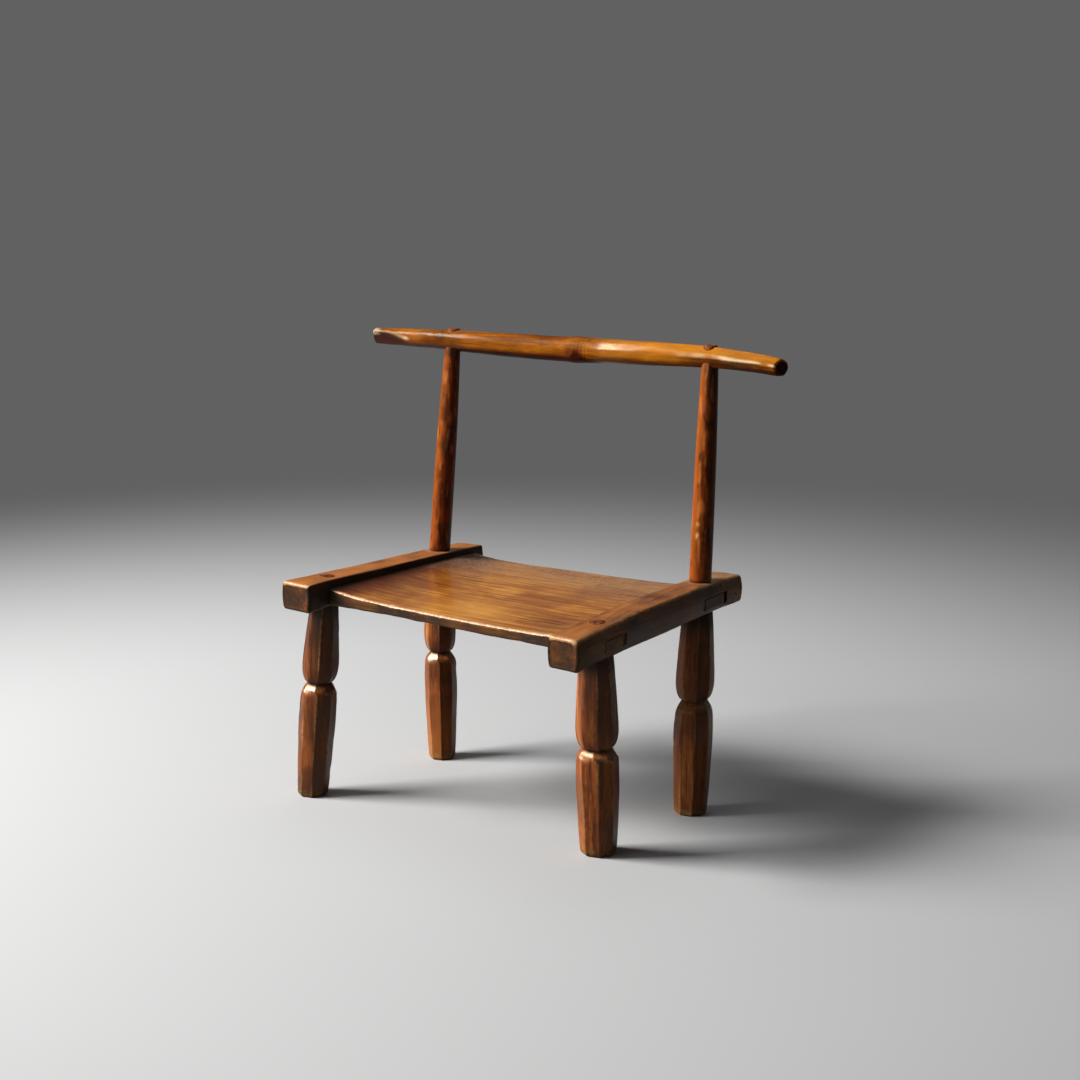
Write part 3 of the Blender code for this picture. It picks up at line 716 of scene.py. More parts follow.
def seat_ring(x):
    seed, low_round, back_round = SEAT_SEED, SEAT_LOW_ROUND, SEAT_BACK_ROUND
    across = abs(x - FRAME_OFFSET) / SEAT_HALF_SPAN
    from_left = x - FRAME_OFFSET + SEAT_HALF_SPAN
    inland = ease(1.0, 0.93, across)
    scoop = SEAT_SCOOP * (1 - across**SEAT_SCOOP_POWER)
    base = SEAT_UNDERSIDE + SEAT_UNDERCUT * (1 - across * across)
    nick = sum(
        (0.5 + 0.5 * wander(k, place * 90)) * hump(x - place, 0.0022 + 0.0012 * (k % 3))
        for k, place in enumerate(SEAT_NICKS)
    )
    round_top = SEAT_TOP_ROUND * (1 + 0.35 * wander(seed, x * 30) + 0.22 * wander(seed + 1, x * 110))
    round_top += 0.0009 * nick
    front = SEAT_FRONT + 0.0006 * (1 + wander(seed + 2, x * 16)) + 0.0004 * nick
    back = SEAT_BACK - 0.0005 * (1 + wander(seed + 3, x * 16))
    ring = []

    def top(y):
        uneven = 0.00045 * wander(seed + 4, x * 9, y * 12) + 0.00012 * wander(seed + 5, x * 24, y * 60)
        raised = SEAT_RIGHT_RISE * ease(0.0, 0.17, x) * ease(SEAT_FRONT + 0.08, SEAT_FRONT, y)
        return SEAT_TOP - scoop - seat_fall(y) + raised + inland * uneven

    def low(y):
        at_front = ease(SEAT_FRONT + 0.05, SEAT_FRONT, y)
        uneven = 0.0004 * wander(seed + 6, x * 14, y * 14) + 0.0009 * at_front * wander(seed + 14, x * 48)
        return base + SEAT_RIGHT_UNDERCUT * at_front * ease(0.06, 0.18, x) + inland * uneven

    def put(y, z, grime=0.0, **marks):
        # painted shadow of the left rail over the board's front left corner
        corner = ease(0.016, 0.008, from_left) * ease(SEAT_FRONT + 0.05, SEAT_FRONT + 0.02, y)
        ring.append(spot(lifted(x, y, z), grime=max(grime, corner), **marks))

    def arc(y, z, radius, start, marks):
        """A clockwise quarter round, from an angle on, with marks for each share of the turn."""
        for step in range(SEAT_ARC_STEPS + 1):
            share = step / SEAT_ARC_STEPS
            angle = radians(start - 90 * share)
            put(y + radius * cos(angle), z + radius * sin(angle), **marks(share))

    def worn_edge(share):
        """From the dark front face, over the rubbed arris, whose wear also stands for a painted highlight, to
        the top.
        """
        rubbed_and_highlit = (1.1 + 0.5 * wander(seed + 7, x * 55) + 0.3 * nick) * hump(share - 0.72, 0.34)
        rubbed_and_highlit *= ease(0.010, 0.020, from_left)
        face = ease(0.50, 0.25, share)
        return dict(wear=rubbed_and_highlit, cut=face, tone=-0.5 * face, polish=0.8 * hump(share - 0.7, 0.3))

    face_low, face_top = low(front) + low_round, top(front) - round_top
    # painted shade along the lower front edge
    arc(front + low_round, face_low, low_round, 270, lambda share: dict(cut=1.0, grime=0.6))
    for share in (0.2, 0.4, 0.6, 0.8):
        dent = 0.00025 * wander(seed + 8, x * 60, share * 3)
        chip = ease(0.20, 0.55, wander(seed + 12, x * 90, share * 2.4)) * ease(0.02, 0.06, from_left)
        # the front face is darkened, and most at its left end, where it is painted shadow of the left rail
        dirt_and_shade = max(0.45, 0.95 * ease(0.050, 0.015, from_left))
        z = mix(face_low, face_top, share)
        put(front + dent, z, wear=0.05 * chip, cut=1.0, tone=-0.4, grime=dirt_and_shade)
    arc(front + round_top, top(front + round_top) - round_top, round_top, 180, worn_edge)
    for k in range(1, SEAT_TOP_STEPS):
        y = mix(front + round_top, back - back_round, k / SEAT_TOP_STEPS)
        edge = x + 0.024 * wander(seed + 9, x * 6, y * 45)
        dark = 0.42 * ease(-0.045, -0.140, edge) + 0.45 * ease(-0.115, -0.160, edge)
        dark += 0.35 * hump(hypot(x - 0.150, y + 0.085), 0.035) + 0.22 * ease(0.080, 0.150, edge)
        # painted shadow of the rails on the board beside them, wider by the left rail
        close = 0.9 * hump(SEAT_HALF_SPAN * (1 - across), 0.023 if x < FRAME_OFFSET else 0.004)
        # towards the back: dust, and a painted pale sheen
        dust_and_sheen = ease(0.0, 0.135, y + 0.02 * wander(seed + 13, x * 9, y * 30))
        gold = 0.45 * hump(hypot((x - 0.02) / 1.6, y + 0.10), 0.045)
        tone = gold if gold > dark else -min(0.9, dark)
        put(y, top(y), grime=max(close, 0.32 * dust_and_sheen), wear=0.20 * dust_and_sheen, tone=tone)
    back_top = top(back - back_round) - back_round
    arc(back - back_round, back_top, back_round, 90, lambda share: dict(wear=0.35 * hump(share - 0.5, 0.5)))
    rear_top, rear_low = top(back) - back_round, low(back) + low_round
    for share in (0.25, 0.5, 0.75):
        put(back, mix(rear_top, rear_low, share), grime=0.2, tone=-0.3)
    arc(back - low_round, rear_low, low_round, 0, lambda share: dict(grime=0.3))
    # painted shade: the underside is darkened
    for k in range(1, SEAT_LOW_STEPS):
        y = mix(back - low_round, front + low_round, k / SEAT_LOW_STEPS)
        put(y, low(y), grime=0.45, tone=-0.3)
    return ring


def seat_rings():
    shares = spread(-1.0, 1.0, SEAT_STATIONS)
    places = [copysign(1 - (1 - abs(v)) ** SEAT_CROWDING, v) for v in shares] + [1.0]
    rings = [seat_ring(FRAME_OFFSET + SEAT_HALF_SPAN * place) for place in places]
    first, last = (capped(ring, (0.7, 0.4, 0.1), cut=1.0) for ring in (rings[0], rings[-1]))
    return first[::-1] + rings + last


# Tenons, mortises and keys

PEG_CORNER = 0.0011
PEG_EDGE = 0.0007
PEG_CORNER_STEPS = 3
PEG_SIDE_STEPS = (4, 4)
MORTISE_SLACK = 0.0002
OVERCUT = 0.01  # by which a cut runs out of the wood
# painted shade inside holes, mortises and sockets
HOLE_SHADE = 0.9


def peg_ring(x, y_range, z_range, corner, **marks):
    """A rounded rectangle across X, following the frame."""
    (y0, y1), (z0, z1) = narrowed(y_range, corner), narrowed(z_range, corner)
    corners = ((y0, z0, corner, 180), (y1, z0, corner, 270), (y1, z1, corner, 0), (y0, z1, corner, 90))
    outline = rounded_box(corners, PEG_CORNER_STEPS, PEG_SIDE_STEPS)
    return [spot(lifted(x, y, z), **marks) for y, z, _ in outline]


def peg_end(ring, side, seed, **marks):
    """Rough end grain over the end of a peg."""
    caps = capped(ring, PEG_SHARES, **marks)
    return roughened(caps, Vector((side, 0, 0)), lambda p: END_DENT * wander(seed, p.y * 110, p.z * 110))


def tenon_y(leg):
    return joint_y(leg) - leg.tenon / 2, joint_y(leg) + leg.tenon / 2


def tenon_z(leg):
    top = SEAT_TOP - TENON_SHOULDER - seat_fall(tenon_y(leg)[1])
    return top - TENON_THICKNESS, top


def tenon_root(rail):
    return FRAME_OFFSET + rail.side * (SEAT_HALF_SPAN - TENON_ROOT)


def outer_face(rail):
    return rail_x(rail) + rail.side * (RAIL_WIDTH / 2 + RAIL_SIDE_BOW)


def tenon_rings(leg):
    side, spans = leg.rail.side, (tenon_y(leg), tenon_z(leg))
    end = outer_face(leg.rail) + side * TENON_PROUD
    edge = end - side * PEG_EDGE
    rings = [peg_ring(x, *spans, PEG_CORNER, grime=0.4) for x in spread(tenon_root(leg.rail), edge, 8)]
    rings.append(peg_ring(edge, *spans, PEG_CORNER, grime=0.35))
    inner = (narrowed(span, PEG_EDGE) for span in spans)
    rings.append(peg_ring(end, *inner, PEG_CORNER, cut=0.6, wear=0.35))
    rings += peg_end(rings[-1], side, leg.seed, cut=0.9, wear=0.14, grime=0.1)
    return capped(rings[0], HIDDEN_SHARES)[::-1] + rings


def mortise_rings(leg):
    front, back = tenon_y(leg)
    outside = outer_face(leg.rail) + leg.rail.side * OVERCUT
    y_range = narrowed((front, back + KEY_THICKNESS + 2 * FIT_GAP), -MORTISE_SLACK)
    z_range = narrowed(tenon_z(leg), -MORTISE_SLACK)
    places = spread(tenon_root(leg.rail), outside, 5) + [outside]
    return [peg_ring(x, y_range, z_range, PEG_CORNER, grime=HOLE_SHADE) for x in places]


def key_rings(leg):
    side, front = leg.rail.side, tenon_y(leg)[1] + FIT_GAP
    head = outer_face(leg.rail) - side * leg.key_depth
    tip = rail_x(leg.rail) - side * (RAIL_WIDTH / 2 - KEY_INSET)
    rings = []
    for share in (0.0, 0.02, 0.15, 0.3, 0.45, 0.6, 0.75, 0.9, 1.0):
        edge = PEG_EDGE if share == 0.0 else 0.0
        y_range = narrowed((front, front + KEY_THICKNESS - KEY_TAPER * share), edge)
        z_range = narrowed(tenon_z(leg), edge)
        cut = 0.7 if edge else 0.1
        rings.append(peg_ring(mix(head, tip, share), y_range, z_range, PEG_CORNER * 0.7, cut=cut))
    face = peg_end(rings[0], side, leg.seed + 1, cut=1.0)
    return face[::-1] + rings + capped(rings[-1], HIDDEN_SHARES)


# Legs


def leg_axis(leg):
    x, y = rail_x(leg.rail) + leg.head[0], joint_y(leg) + leg.head[1]
    return Vector((x, y, LEG_HEAD)), Vector((x + leg.foot[0], y + leg.foot[1], 0.0))


def on_axis(leg, z):
    head, foot = leg_axis(leg)
    return foot + (head - foot) * (z / head.z)


def fitted(place):
    """Tilts a point of a leg to suit the rail over it, less and less towards the level foot."""
    return place + Vector((0, 0, lift(place.x, place.y) * min(1.0, place.z / LEG_HEAD)))


def leg_levels(leg):
    """Heights of a leg's neck, belly and shoulder."""
    neck = LEG_HEAD - leg.neck
    return neck, neck + LEG_BELLY, neck - LEG_SHOULDER


def leg_tenon_top(leg):
    return RAIL_UNDERSIDE + rail_height(leg.rail, joint_y(leg))


SHOULDER_EASE = 0.0044
FOOT_EASE = 0.0014


def leg_reach(leg, z, bevel):
    """The radius of a leg's corners at a height, with a bevel of some height on its shoulder."""
    girth = leg.girth
    neck, belly, shoulder = leg_levels(leg)
    waist = girth - LEG_NECK_DEPTH
    if z >= belly:
        rise = (z - belly) / (LEG_HEAD - belly)
        return girth - LEG_HEAD_TAPER * rise**LEG_FLARE_POWER
    if z >= neck:
        share = (belly - z) / LEG_BELLY
        return waist + LEG_NECK_DEPTH * sqrt(max(0.0, 1 - share * share))
    down = (shoulder - z) / (shoulder - LEG_FOOT_CHAMFER)
    past = max(0.0, (down - LEG_TAPER_START) / (1 - LEG_TAPER_START))
    swell = LEG_SWELL * sin(pi * min(1.0, max(0.0, 2 * down)))
    barrel = girth + swell - LEG_FOOT_TAPER * past**LEG_TAPER_POWER
    chamfer = waist + LEG_NECK_DEPTH * (neck - z) / bevel
    foot = girth - LEG_FOOT_TAPER - LEG_FOOT_CHAMFER + max(0.0, z)
    return soft_min(soft_min(chamfer, barrel, SHOULDER_EASE), foot, FOOT_EASE)


def leg_heights(leg):
    neck, belly, shoulder = leg_levels(leg)
    bevel_top, bevel_low, foot = shoulder + 0.0022, shoulder - 0.0065, 0.0050
    heights = spread(LEG_HEAD, belly, 34)
    heights += [belly - LEG_BELLY * sin(pi / 2 * k / 18) for k in range(18)]
    heights += [neck] + spread(neck - 0.0006, bevel_top, 5) + spread(bevel_top, bevel_low, 15)
    return heights + spread(bevel_low, foot, 60) + spread(foot, 0.0, 9) + [0.0]


FACET_SHARES = (0.0, 0.022, 0.055, 0.13, 0.29, 0.5, 0.71, 0.87, 0.945, 0.978)
ARRIS_CRISPNESS = 105.0
# Painted light and shade: facets turned towards the main lamp's side are lighter, those turned away darker
LIT_SIDE = radians(-125)
BULB_SHADING = (-0.60, 0.28)  # painted shade away from the lit side, and painted light on it
BARREL_SHADING = (-0.15, 0.12)
FRONT_BEVEL = 0.0100
FRONT_SIDE = radians(-91)
END_DOME = 0.0004 * UP
LEG_TENON_STEPS = (  # below the tip, and off the radius
    (0.0120, 0.0), (0.0028, 0.0), (0.0016, 0.0002), (0.0008, 0.0006), (0.0004, 0.0013),
)


def polygon_ring(offsets, headings, crispness):
    """(angle, reach, facet, share across it) round a polygon with slightly eased corners."""
    count = len(offsets)
    corners = []
    for k in range(count):
        turn = (headings[k] - headings[k - 1]) % (2 * pi)
        before, after = offsets[k - 1], offsets[k]
        corners.append(headings[k - 1] + atan2(after - before * cos(turn), before * sin(turn)))
    least = min(offsets)
    points = []
    for k in range(count):
        first = tan(corners[k] - headings[k])
        last = tan(corners[(k + 1) % count] - headings[k])
        for share in FACET_SHARES:
            angle = headings[k] + atan(mix(first, last, share))
            crisp = crispness[k] if share < 0.5 else crispness[(k + 1) % count]
            total = sum(
                max(0.0, cos(angle - heading) * least / offset) ** crisp
                for heading, offset in zip(headings, offsets)
            )
            points.append((angle, least * total ** (-1 / crisp), k, share))
    return points


def leg_ring(leg, z):
    seed = leg.seed
    neck, _, shoulder = leg_levels(leg)
    above = ease(neck - 0.001, neck + 0.001, z)
    offsets, headings, crispness = [], [], []
    for k in range(LEG_FACETS):
        own = 0.016 * wander(seed + k, 0.5, above * 3.3)
        tool = 0.00026 * wander(seed + k, 5, z * 36) + 0.00012 * wander(seed + k, 9, z * 105)
        tool *= ease(0.0, 0.012, z)
        turn = LEG_CORNER_TURN + pi / LEG_FACETS * (2 * k + 1)
        turn += radians(2.2) * wander(seed + k, 13, above * 2.7, z * 6)
        turn += radians(leg.turn) * (1 - above) * ease(shoulder - 0.0060, shoulder + 0.0015, z)
        headings.append(turn)
        bevel = mix(leg.bevel, FRONT_BEVEL, max(0.0, cos(turn - FRONT_SIDE)) ** 8)
        offsets.append(leg_reach(leg, z, bevel) * cos(pi / LEG_FACETS) * (1 + own) + tool)
        chipped = ease(0.22, 0.60, wander(seed + k, 21, z * 52)) * 0.75
        crispness.append(ARRIS_CRISPNESS * (1 - chipped) * (0.85 + 0.25 * wander(seed + k, 23, z * 20)))
    axis = on_axis(leg, z) + Vector((*leg.shift, 0.0))
    ring = []
    for angle, reach, k, share in polygon_ring(offsets, headings, crispness):
        near = min(share, 1 - share)
        place = Vector((axis.x + reach * cos(angle), axis.y + reach * sin(angle), z))
        grain = 0.00009 * wander(seed, place.x * 230, place.y * 230, place.z * 90)
        place += grain * Vector((cos(angle), sin(angle), 0))
        corner = k if share < 0.5 else (k + 1) % LEG_FACETS
        wear = hump(near, 0.055) * (0.35 + 0.95 * wander(seed + corner, 31, z * 26))
        lip = hump(z - mix(neck, shoulder, 0.70), 0.0048)
        # real wear and a painted highlight on the shoulder's lip
        lip_wear_and_highlight = 0.45 * lip * (0.6 + 0.7 * wander(seed + 7, angle * 2.3, 4))
        # painted shadow of the rail on the leg's head, and a darker neck groove
        grime = hump(z - neck, 0.0026) + 1.5 * hump(z - LEG_HEAD, 0.021)
        foot = ease(0.0125, 0.0045, z + 0.0030 * wander(seed + 8, angle * 1.7, 2))
        # painted light and shade by the side a facet faces
        toward_light = max(0.0, cos(angle - LIT_SIDE)) ** 4
        tone = mix(*leg.tones, ease(neck, 0.02, z))
        tone += mix(mix(*BARREL_SHADING, toward_light), mix(*BULB_SHADING, toward_light), above)
        tone += 0.22 * wander(seed + k, 41, z * 17) + 0.35 * wander(seed + k, 43, share * 3.1, z * 7)
        ring.append(spot(fitted(place), max(wear, lip_wear_and_highlight), grime, 0.9 * foot, tone, 1.4 * lip))
    return ring


def round_like(ring, centre, radius, seed, **marks):
    """A round, level ring whose points face those of another."""
    middle = middle_of(ring)
    made = []
    for s in ring:
        out = Vector((s.place.x - middle.x, s.place.y - middle.y, 0)).normalized()
        uneven = 1 + 0.02 * wander(seed, out.x * 1.4, out.y * 1.4)
        made.append(spot(centre + out * radius * uneven, **marks))
    return made


def leg_top(leg, rim):
    """A front leg's tenon, or a rear leg's socket, inside a rim."""
    if leg.rear:
        post, radius = post_over(leg), POST_TENON_RADIUS + FIT_GAP
        mouth, base = (
            round_like(rim, post_point(post, z), radius, leg.seed, grime=HOLE_SHADE)
            for z in (LEG_HEAD, post_socket_floor(post))
        )
        return capped(base, HIDDEN_SHARES, grime=HOLE_SHADE)[::-1] + [base, moved(mouth, fitted)]
    tip = leg_tenon_top(leg) + LEG_TENON_PROUD
    stem = []
    for z, shrink in [(LEG_HEAD, 0.0)] + [(tip - below, shrink) for below, shrink in LEG_TENON_STEPS]:
        grime = 0.8 if shrink < 0.0004 else 0.4
        ring = round_like(rim, on_axis(leg, z), LEG_TENON_RADIUS - shrink, leg.seed, grime=grime)
        stem.append(moved(ring, fitted))
    end = capped(stem[-1], TIP_SHARES, END_DOME, tone=-0.5, grime=0.15)
    return (stem + roughened(end, UP, lambda p: END_DENT * wander(leg.seed + 3, *(p * 260))))[::-1]


def leg_rings(leg):
    rings = [leg_ring(leg, z) for z in leg_heights(leg)]
    return leg_top(leg, rings[0]) + rings + capped(rings[-1], SOLE_SHARES, END_DOME, cut=1.0)


# Back posts


def post_foot(post):
    x, y = rail_x(post.leg.rail), joint_y(post.leg)
    return Vector((x, y, rail_top(post.leg.rail, x, y)))


def post_point(post, z):
    foot = post_foot(post)
    share = (z - foot.z) / (CREST_HEIGHT - foot.z)
    return Vector((foot.x + post.lean[0] * share, foot.y + post.lean[1] * share, z))


def post_socket_floor(post):
    foot = post_foot(post)
    return RAIL_UNDERSIDE + lift(foot.x, foot.y) - POST_SOCKET_DEPTH


def crest_underside(post):
    x = post_point(post, CREST_HEIGHT).x
    return crest_z(x) - crest_radius(x)


def post_tip(post):
    x = post_point(post, CREST_HEIGHT).x
    return crest_z(x) + crest_radius(x) + POST_PROUD


def post_radius(post, z):
    foot, crest = post_foot(post), crest_underside(post)
    if z <= crest:
        share = max(0.0, (z - foot.z) / (crest - foot.z))
        return post.radius - (post.radius - POST_TOP_RADIUS) * share**POST_TAPER_POWER
    share = (z - crest) / (post_tip(post) - crest)
    return POST_TOP_RADIUS - (POST_TOP_RADIUS - POST_TIP_RADIUS) * share


POST_SIDES = 56
POST_SHADING = (-0.45, 0.50)  # painted shade away from the lit side, and painted light on it
POST_CHIP_HEADING = radians(-88)
POST_SEAT_INSET = 0.0012  # of the foot's edge


def post_ring(post, z):
    seed, axis, foot, crest = post.seed, post_point(post, z), post_foot(post), crest_underside(post)
    free = ease(foot.z, foot.z + 0.015, z) * ease(crest + 0.002, crest - 0.012, z)
    grime = 0.75 * hump(z - foot.z, 0.004) + 0.5 * hump(z - crest, 0.006)
    ring = []
    for angle in spread(0.0, 2 * pi, POST_SIDES):
        c, s = cos(angle), sin(angle)
        shaved = 0.016 * wander(seed, 1.5 * c, 1.5 * s, z * 9)
        shaved += 0.008 * wander(seed + 1, 3.2 * c, 3.2 * s, z * 26)
        turn = remainder(angle - POST_CHIP_HEADING, 2 * pi)
        chip = max((hump(z - level, width) * hump(turn, 0.16) for level, width in post.chips), default=0.0)
        reach = post_radius(post, z) * (1 + free * shaved) - 0.0007 * chip - 0.0007 * hump(z - foot.z, 0.0016)
        speck = ease(0.42, 0.62, wander(seed + 2, 2.2 * c, 2.2 * s, z * 60))
        fleck = ease(0.22, 0.55, wander(seed + 6, 2.6 * c, 2.6 * s, z * 42))
        # painted light and shade by the side the post faces
        tone = post.tone + mix(*POST_SHADING, max(0.0, cos(angle - LIT_SIDE)) ** 2)
        tone += 0.16 * wander(seed + 3, 1.2 * c, 1.2 * s, z * 14) - 0.5 * speck + 0.6 * fleck
        place = (axis.x + reach * c, axis.y + reach * s, z)
        ring.append(spot(place, max(1.6 * chip, 0.22 * fleck), grime, tone=tone))
    return ring


def level_ring(centre, radius, **marks):
    return [
        spot((centre.x + radius * cos(angle), centre.y + radius * sin(angle), centre.z), **marks)
        for angle in spread(0.0, 2 * pi, POST_SIDES)
    ]


def seated(post, radius):
    """A ring of a post's foot, just inside the crowned top of the rail."""
    ring = level_ring(post_foot(post), radius, grime=HOLE_SHADE)
    return moved(ring, lambda p: Vector((p.x, p.y, rail_top(post.leg.rail, p.x, p.y) - FIT_GAP)))


def post_rings(post):
    foot, crest, tip = post_foot(post).z, crest_underside(post), post_tip(post)
    base = level_ring(post_point(post, post_socket_floor(post) + FIT_GAP), POST_TENON_RADIUS)
    rings = capped(base, HIDDEN_SHARES)[::-1] + [base]
    rings += [seated(post, radius) for radius in (POST_TENON_RADIUS, post.radius - POST_SEAT_INSET)]
    heights = spread(foot + 0.0022, foot + 0.014, 8) + spread(foot + 0.014, crest, 110)
    heights += spread(crest, tip - POST_TIP_ROUND, 8)
    rings += [post_ring(post, z) for z in heights]
    for turn in map(radians, (0, 15, 30, 45, 60, 72)):
        z = tip - POST_TIP_ROUND * (1 - sin(turn))
        shrink = 1.7 * POST_TIP_ROUND * (1 - cos(turn))
        rings.append(level_ring(post_point(post, z), post_radius(post, z) - shrink, cut=0.8))
    end = capped(rings[-1], TIP_SHARES, cut=1.0)
    return rings + roughened(end, -UP, lambda p: END_DENT * (1 + wander(post.seed + 5, *(p * 240))))


# Crest rail


def crest_z(x):
    droop = CREST_LEFT_DROOP if x < 0 else CREST_RIGHT_DROOP
    past = max(0.0, abs(x) - (CREST_LENGTH / 2 - CREST_DROOP_START)) / CREST_DROOP_START
    sag = CREST_SAG * hump(x - CREST_SAG_PLACE, CREST_SAG_SPAN)
    return CREST_HEIGHT + CREST_RISE * x / CREST_LENGTH - droop * past * past - sag


def crest_y(x):
    left, right = (post_point(post, CREST_HEIGHT) for post in POSTS.values())
    return left.y + (right.y - left.y) * (x - left.x) / (right.x - left.x)


def crest_radius(x):
    end = CREST_LEFT_RADIUS if x < 0 else CREST_RIGHT_RADIUS
    share = min(1.0, abs(x) / (CREST_LENGTH / 2))
    knot = CREST_KNOT_SWELL * hump(x - CREST_KNOT_PLACE, CREST_KNOT_SPAN)
    return end + (CREST_RADIUS - end) * (1 - share**CREST_TAPER_POWER) + knot


CREST_SEED = 97
CREST_SIDES = 112
CREST_FACES = ((207, 0.86), (130, 0.90), (62, 0.95), (325, 0.95), (266, 0.95))  # heading, offset
CREST_FACE_CRISPNESS = 36
CREST_RIDGE = radians(171)  # between the first two of them
CREST_CUT_HEADING = radians(195)  # of the slanting cut at the left end
CREST_CUT_OFFSETS = (0.40, 1.06)  # from its tip to where it runs out
CREST_FLAT_HEADING = radians(148)  # where hands have worn it flat, right of the knot
CREST_FLAT_OFFSET = 0.93
CREST_GROWTH_RINGS = 1140  # radians to a metre
CREST_KNOTS = (  # place, heading, width and strength
    (0.0284, 200, 0.0095, 0.8), (0.0165, 182, 0.0080, 0.45), (0.0370, 214, 0.0060, 0.45),
    (-0.2060, 150, 0.0085, 0.5), (0.0460, 120, 0.0040, 0.4),
)


def crest_reach(x, angle):
    """How far the crest rail reaches from its centre line, over its own radius."""
    c, s = abs(cos(angle)) / CREST_FLATTENING, abs(sin(angle))
    reach = (c**CREST_SQUARENESS + s**CREST_SQUARENESS) ** (-1 / CREST_SQUARENESS)
    faced = ease(0.135, 0.235, x)
    if faced:
        crisp = CREST_FACE_CRISPNESS
        total = sum(max(0.0, cos(angle - radians(turn)) / offset) ** crisp for turn, offset in CREST_FACES)
        reach = mix(reach, min(reach * 1.02, total ** (-1 / crisp)), 0.85 * faced)
    return reach


def crest_ring(x, shrink):
    seed, end = CREST_SEED, -CREST_LENGTH / 2
    centre_y, centre_z, radius = crest_y(x), crest_z(x), crest_radius(x)
    calm = ease(0.0, 0.012, CREST_LENGTH / 2 - abs(x))
    faced = ease(0.17, 0.24, x)
    ring = []
    for k in range(CREST_SIDES):
        angle = 2 * pi * (k + 0.5) / CREST_SIDES
        c, s = cos(angle), sin(angle)
        uneven = 0.030 * wander(seed, x * 13, 0.9 * c, 0.9 * s)
        uneven += 0.020 * wander(seed + 1, x * 42, 2 * c, 2 * s)
        uneven += 0.007 * wander(seed + 2, x * 105, 4 * c, 4 * s)
        reach = radius * crest_reach(x, angle) * (1 + calm * uneven) - shrink
        knot = facet = rim = 0.0
        for place, heading, width, strength in CREST_KNOTS:
            away = hypot(x - place, radius * remainder(angle - radians(heading), 2 * pi))
            knot = max(knot, strength * hump(away, width))
            reach += 0.0007 * strength * (hump(away, width * 1.6) - 1.5 * hump(away, width * 0.55))
        away = cos(angle - CREST_CUT_HEADING)
        if x < end + CREST_FACET_LENGTH and away > 0.05:
            share = (x - end) / CREST_FACET_LENGTH
            face = radius * mix(*CREST_CUT_OFFSETS, share**1.25) / away
            facet = ease(-0.0002, 0.0020, reach - face)
            rim = hump(reach - face, 0.0013) * ease(0.2, 0.6, s + 0.55)
            rim *= 0.28 + 0.55 * ease(0.30, 0.08, share) + 0.60 * hump(share - 0.90, 0.06)
            reach = soft_min(reach, face, 0.0012)
        flat = cos(angle - CREST_FLAT_HEADING)
        if flat > 0.6:
            worn = ease(0.046, 0.066, x) * ease(0.150, 0.105, x)
            reach = mix(reach, soft_min(reach, CREST_FLAT_OFFSET * radius / flat, 0.0008), worn)
        slant = CREST_END_SLANT * ease(0.30, CREST_LENGTH / 2, x) * (1 - c) / 2
        place = (x - slant, centre_y + reach * c, centre_z + reach * s)
        # the wear on the ridge, on the rim of the left cut and at the left tip is partly real and partly a
        # painted highlight
        from_ridge = remainder(angle - CREST_RIDGE, 2 * pi)
        wavy = from_ridge + 0.06 + 0.10 * wander(seed + 9, x * 34)
        ridge = faced * hump(wavy, mix(0.18, 0.09, ease(0.22, 0.32, x)))
        # painted shade: the underside, the facet below the ridge and the slanting cut at the left end are
        # darkened
        below = faced * ease(0.05, 0.25, from_ridge) * ease(1.9, 1.5, from_ridge)
        below *= 0.8 + 0.7 * wander(seed + 10, x * 60, 2 * c, 2 * s)
        under = ease(-0.15, -0.80, s)
        tip = ease(end + 0.018, end + 0.004, x) * ease(0.1, 0.7, s)
        wear = max(1.7 * ridge * (0.55 + 1.2 * wander(seed + 4, x * 48)), 1.3 * rim, 0.5 * tip)
        tone = 0.20 * wander(seed + 5, x * 16, c, s) - 0.95 * knot - 0.75 * under - 0.80 * facet
        tone += mix(-0.38, 0.38, ease(0.02, 0.08, x)) + 0.10 * ease(-0.10, -0.18, x) - 0.75 * below
        tone += 0.25 * hump(x - 0.040, 0.012) * sin(x * CREST_GROWTH_RINGS)
        handled = 0.30 + 0.6 * wander(seed + 6, x * 22) + 0.5 * hump(x - 0.075, 0.030)
        handled = max(ease(0.040, 0.070, x) * handled, 0.45 * ease(-0.10, -0.20, x))
        grime = max(0.35 * knot, 0.55 * under, 0.35 * below, 0.6 * facet * ease(0.1, -0.7, s))
        ring.append(spot(place, wear, grime, 0.0, tone, min(1.0, max(handled, ridge, rim))))
    return ring


def crest_rings():
    half = CREST_LENGTH / 2
    left, right = rounded_steps(CREST_LEFT_ROUND, 8), rounded_steps(CREST_RIGHT_ROUND, 5)
    cut_end = -half + 1.1 * CREST_FACET_LENGTH
    between = spread(-half + CREST_LEFT_ROUND, cut_end, 110) + spread(cut_end, half - CREST_RIGHT_ROUND, 280)
    steps = [(-half + d, quarter_round(d, CREST_LEFT_ROUND)) for d in left[:-1]]
    steps += [(x, 0.0) for x in between]
    steps += [(half - d, quarter_round(d, CREST_RIGHT_ROUND)) for d in reversed(right)]
    rings = [crest_ring(x, shrink) for x, shrink in steps]
    first = capped(rings[0], CAP_SHARES, tone=-0.4)
    # the right end is darkened over its end grain: painted shade
    last = roughened(
        capped(rings[-1], CAP_SHARES, cut=1.0, grime=0.7), Vector((-1, 0, 0)),
        lambda p: 0.0004 * (1 + wander(CREST_SEED + 8, *(p * 190))),
    )
    return first[::-1] + rings + last


# Holes

HOLE_SLACK = 0.0003
LEG_BORE_RADIUS = LEG_TENON_RADIUS * 1.02 + HOLE_SLACK
BORE_FLOOR = 0.002  # below the floor of a socket


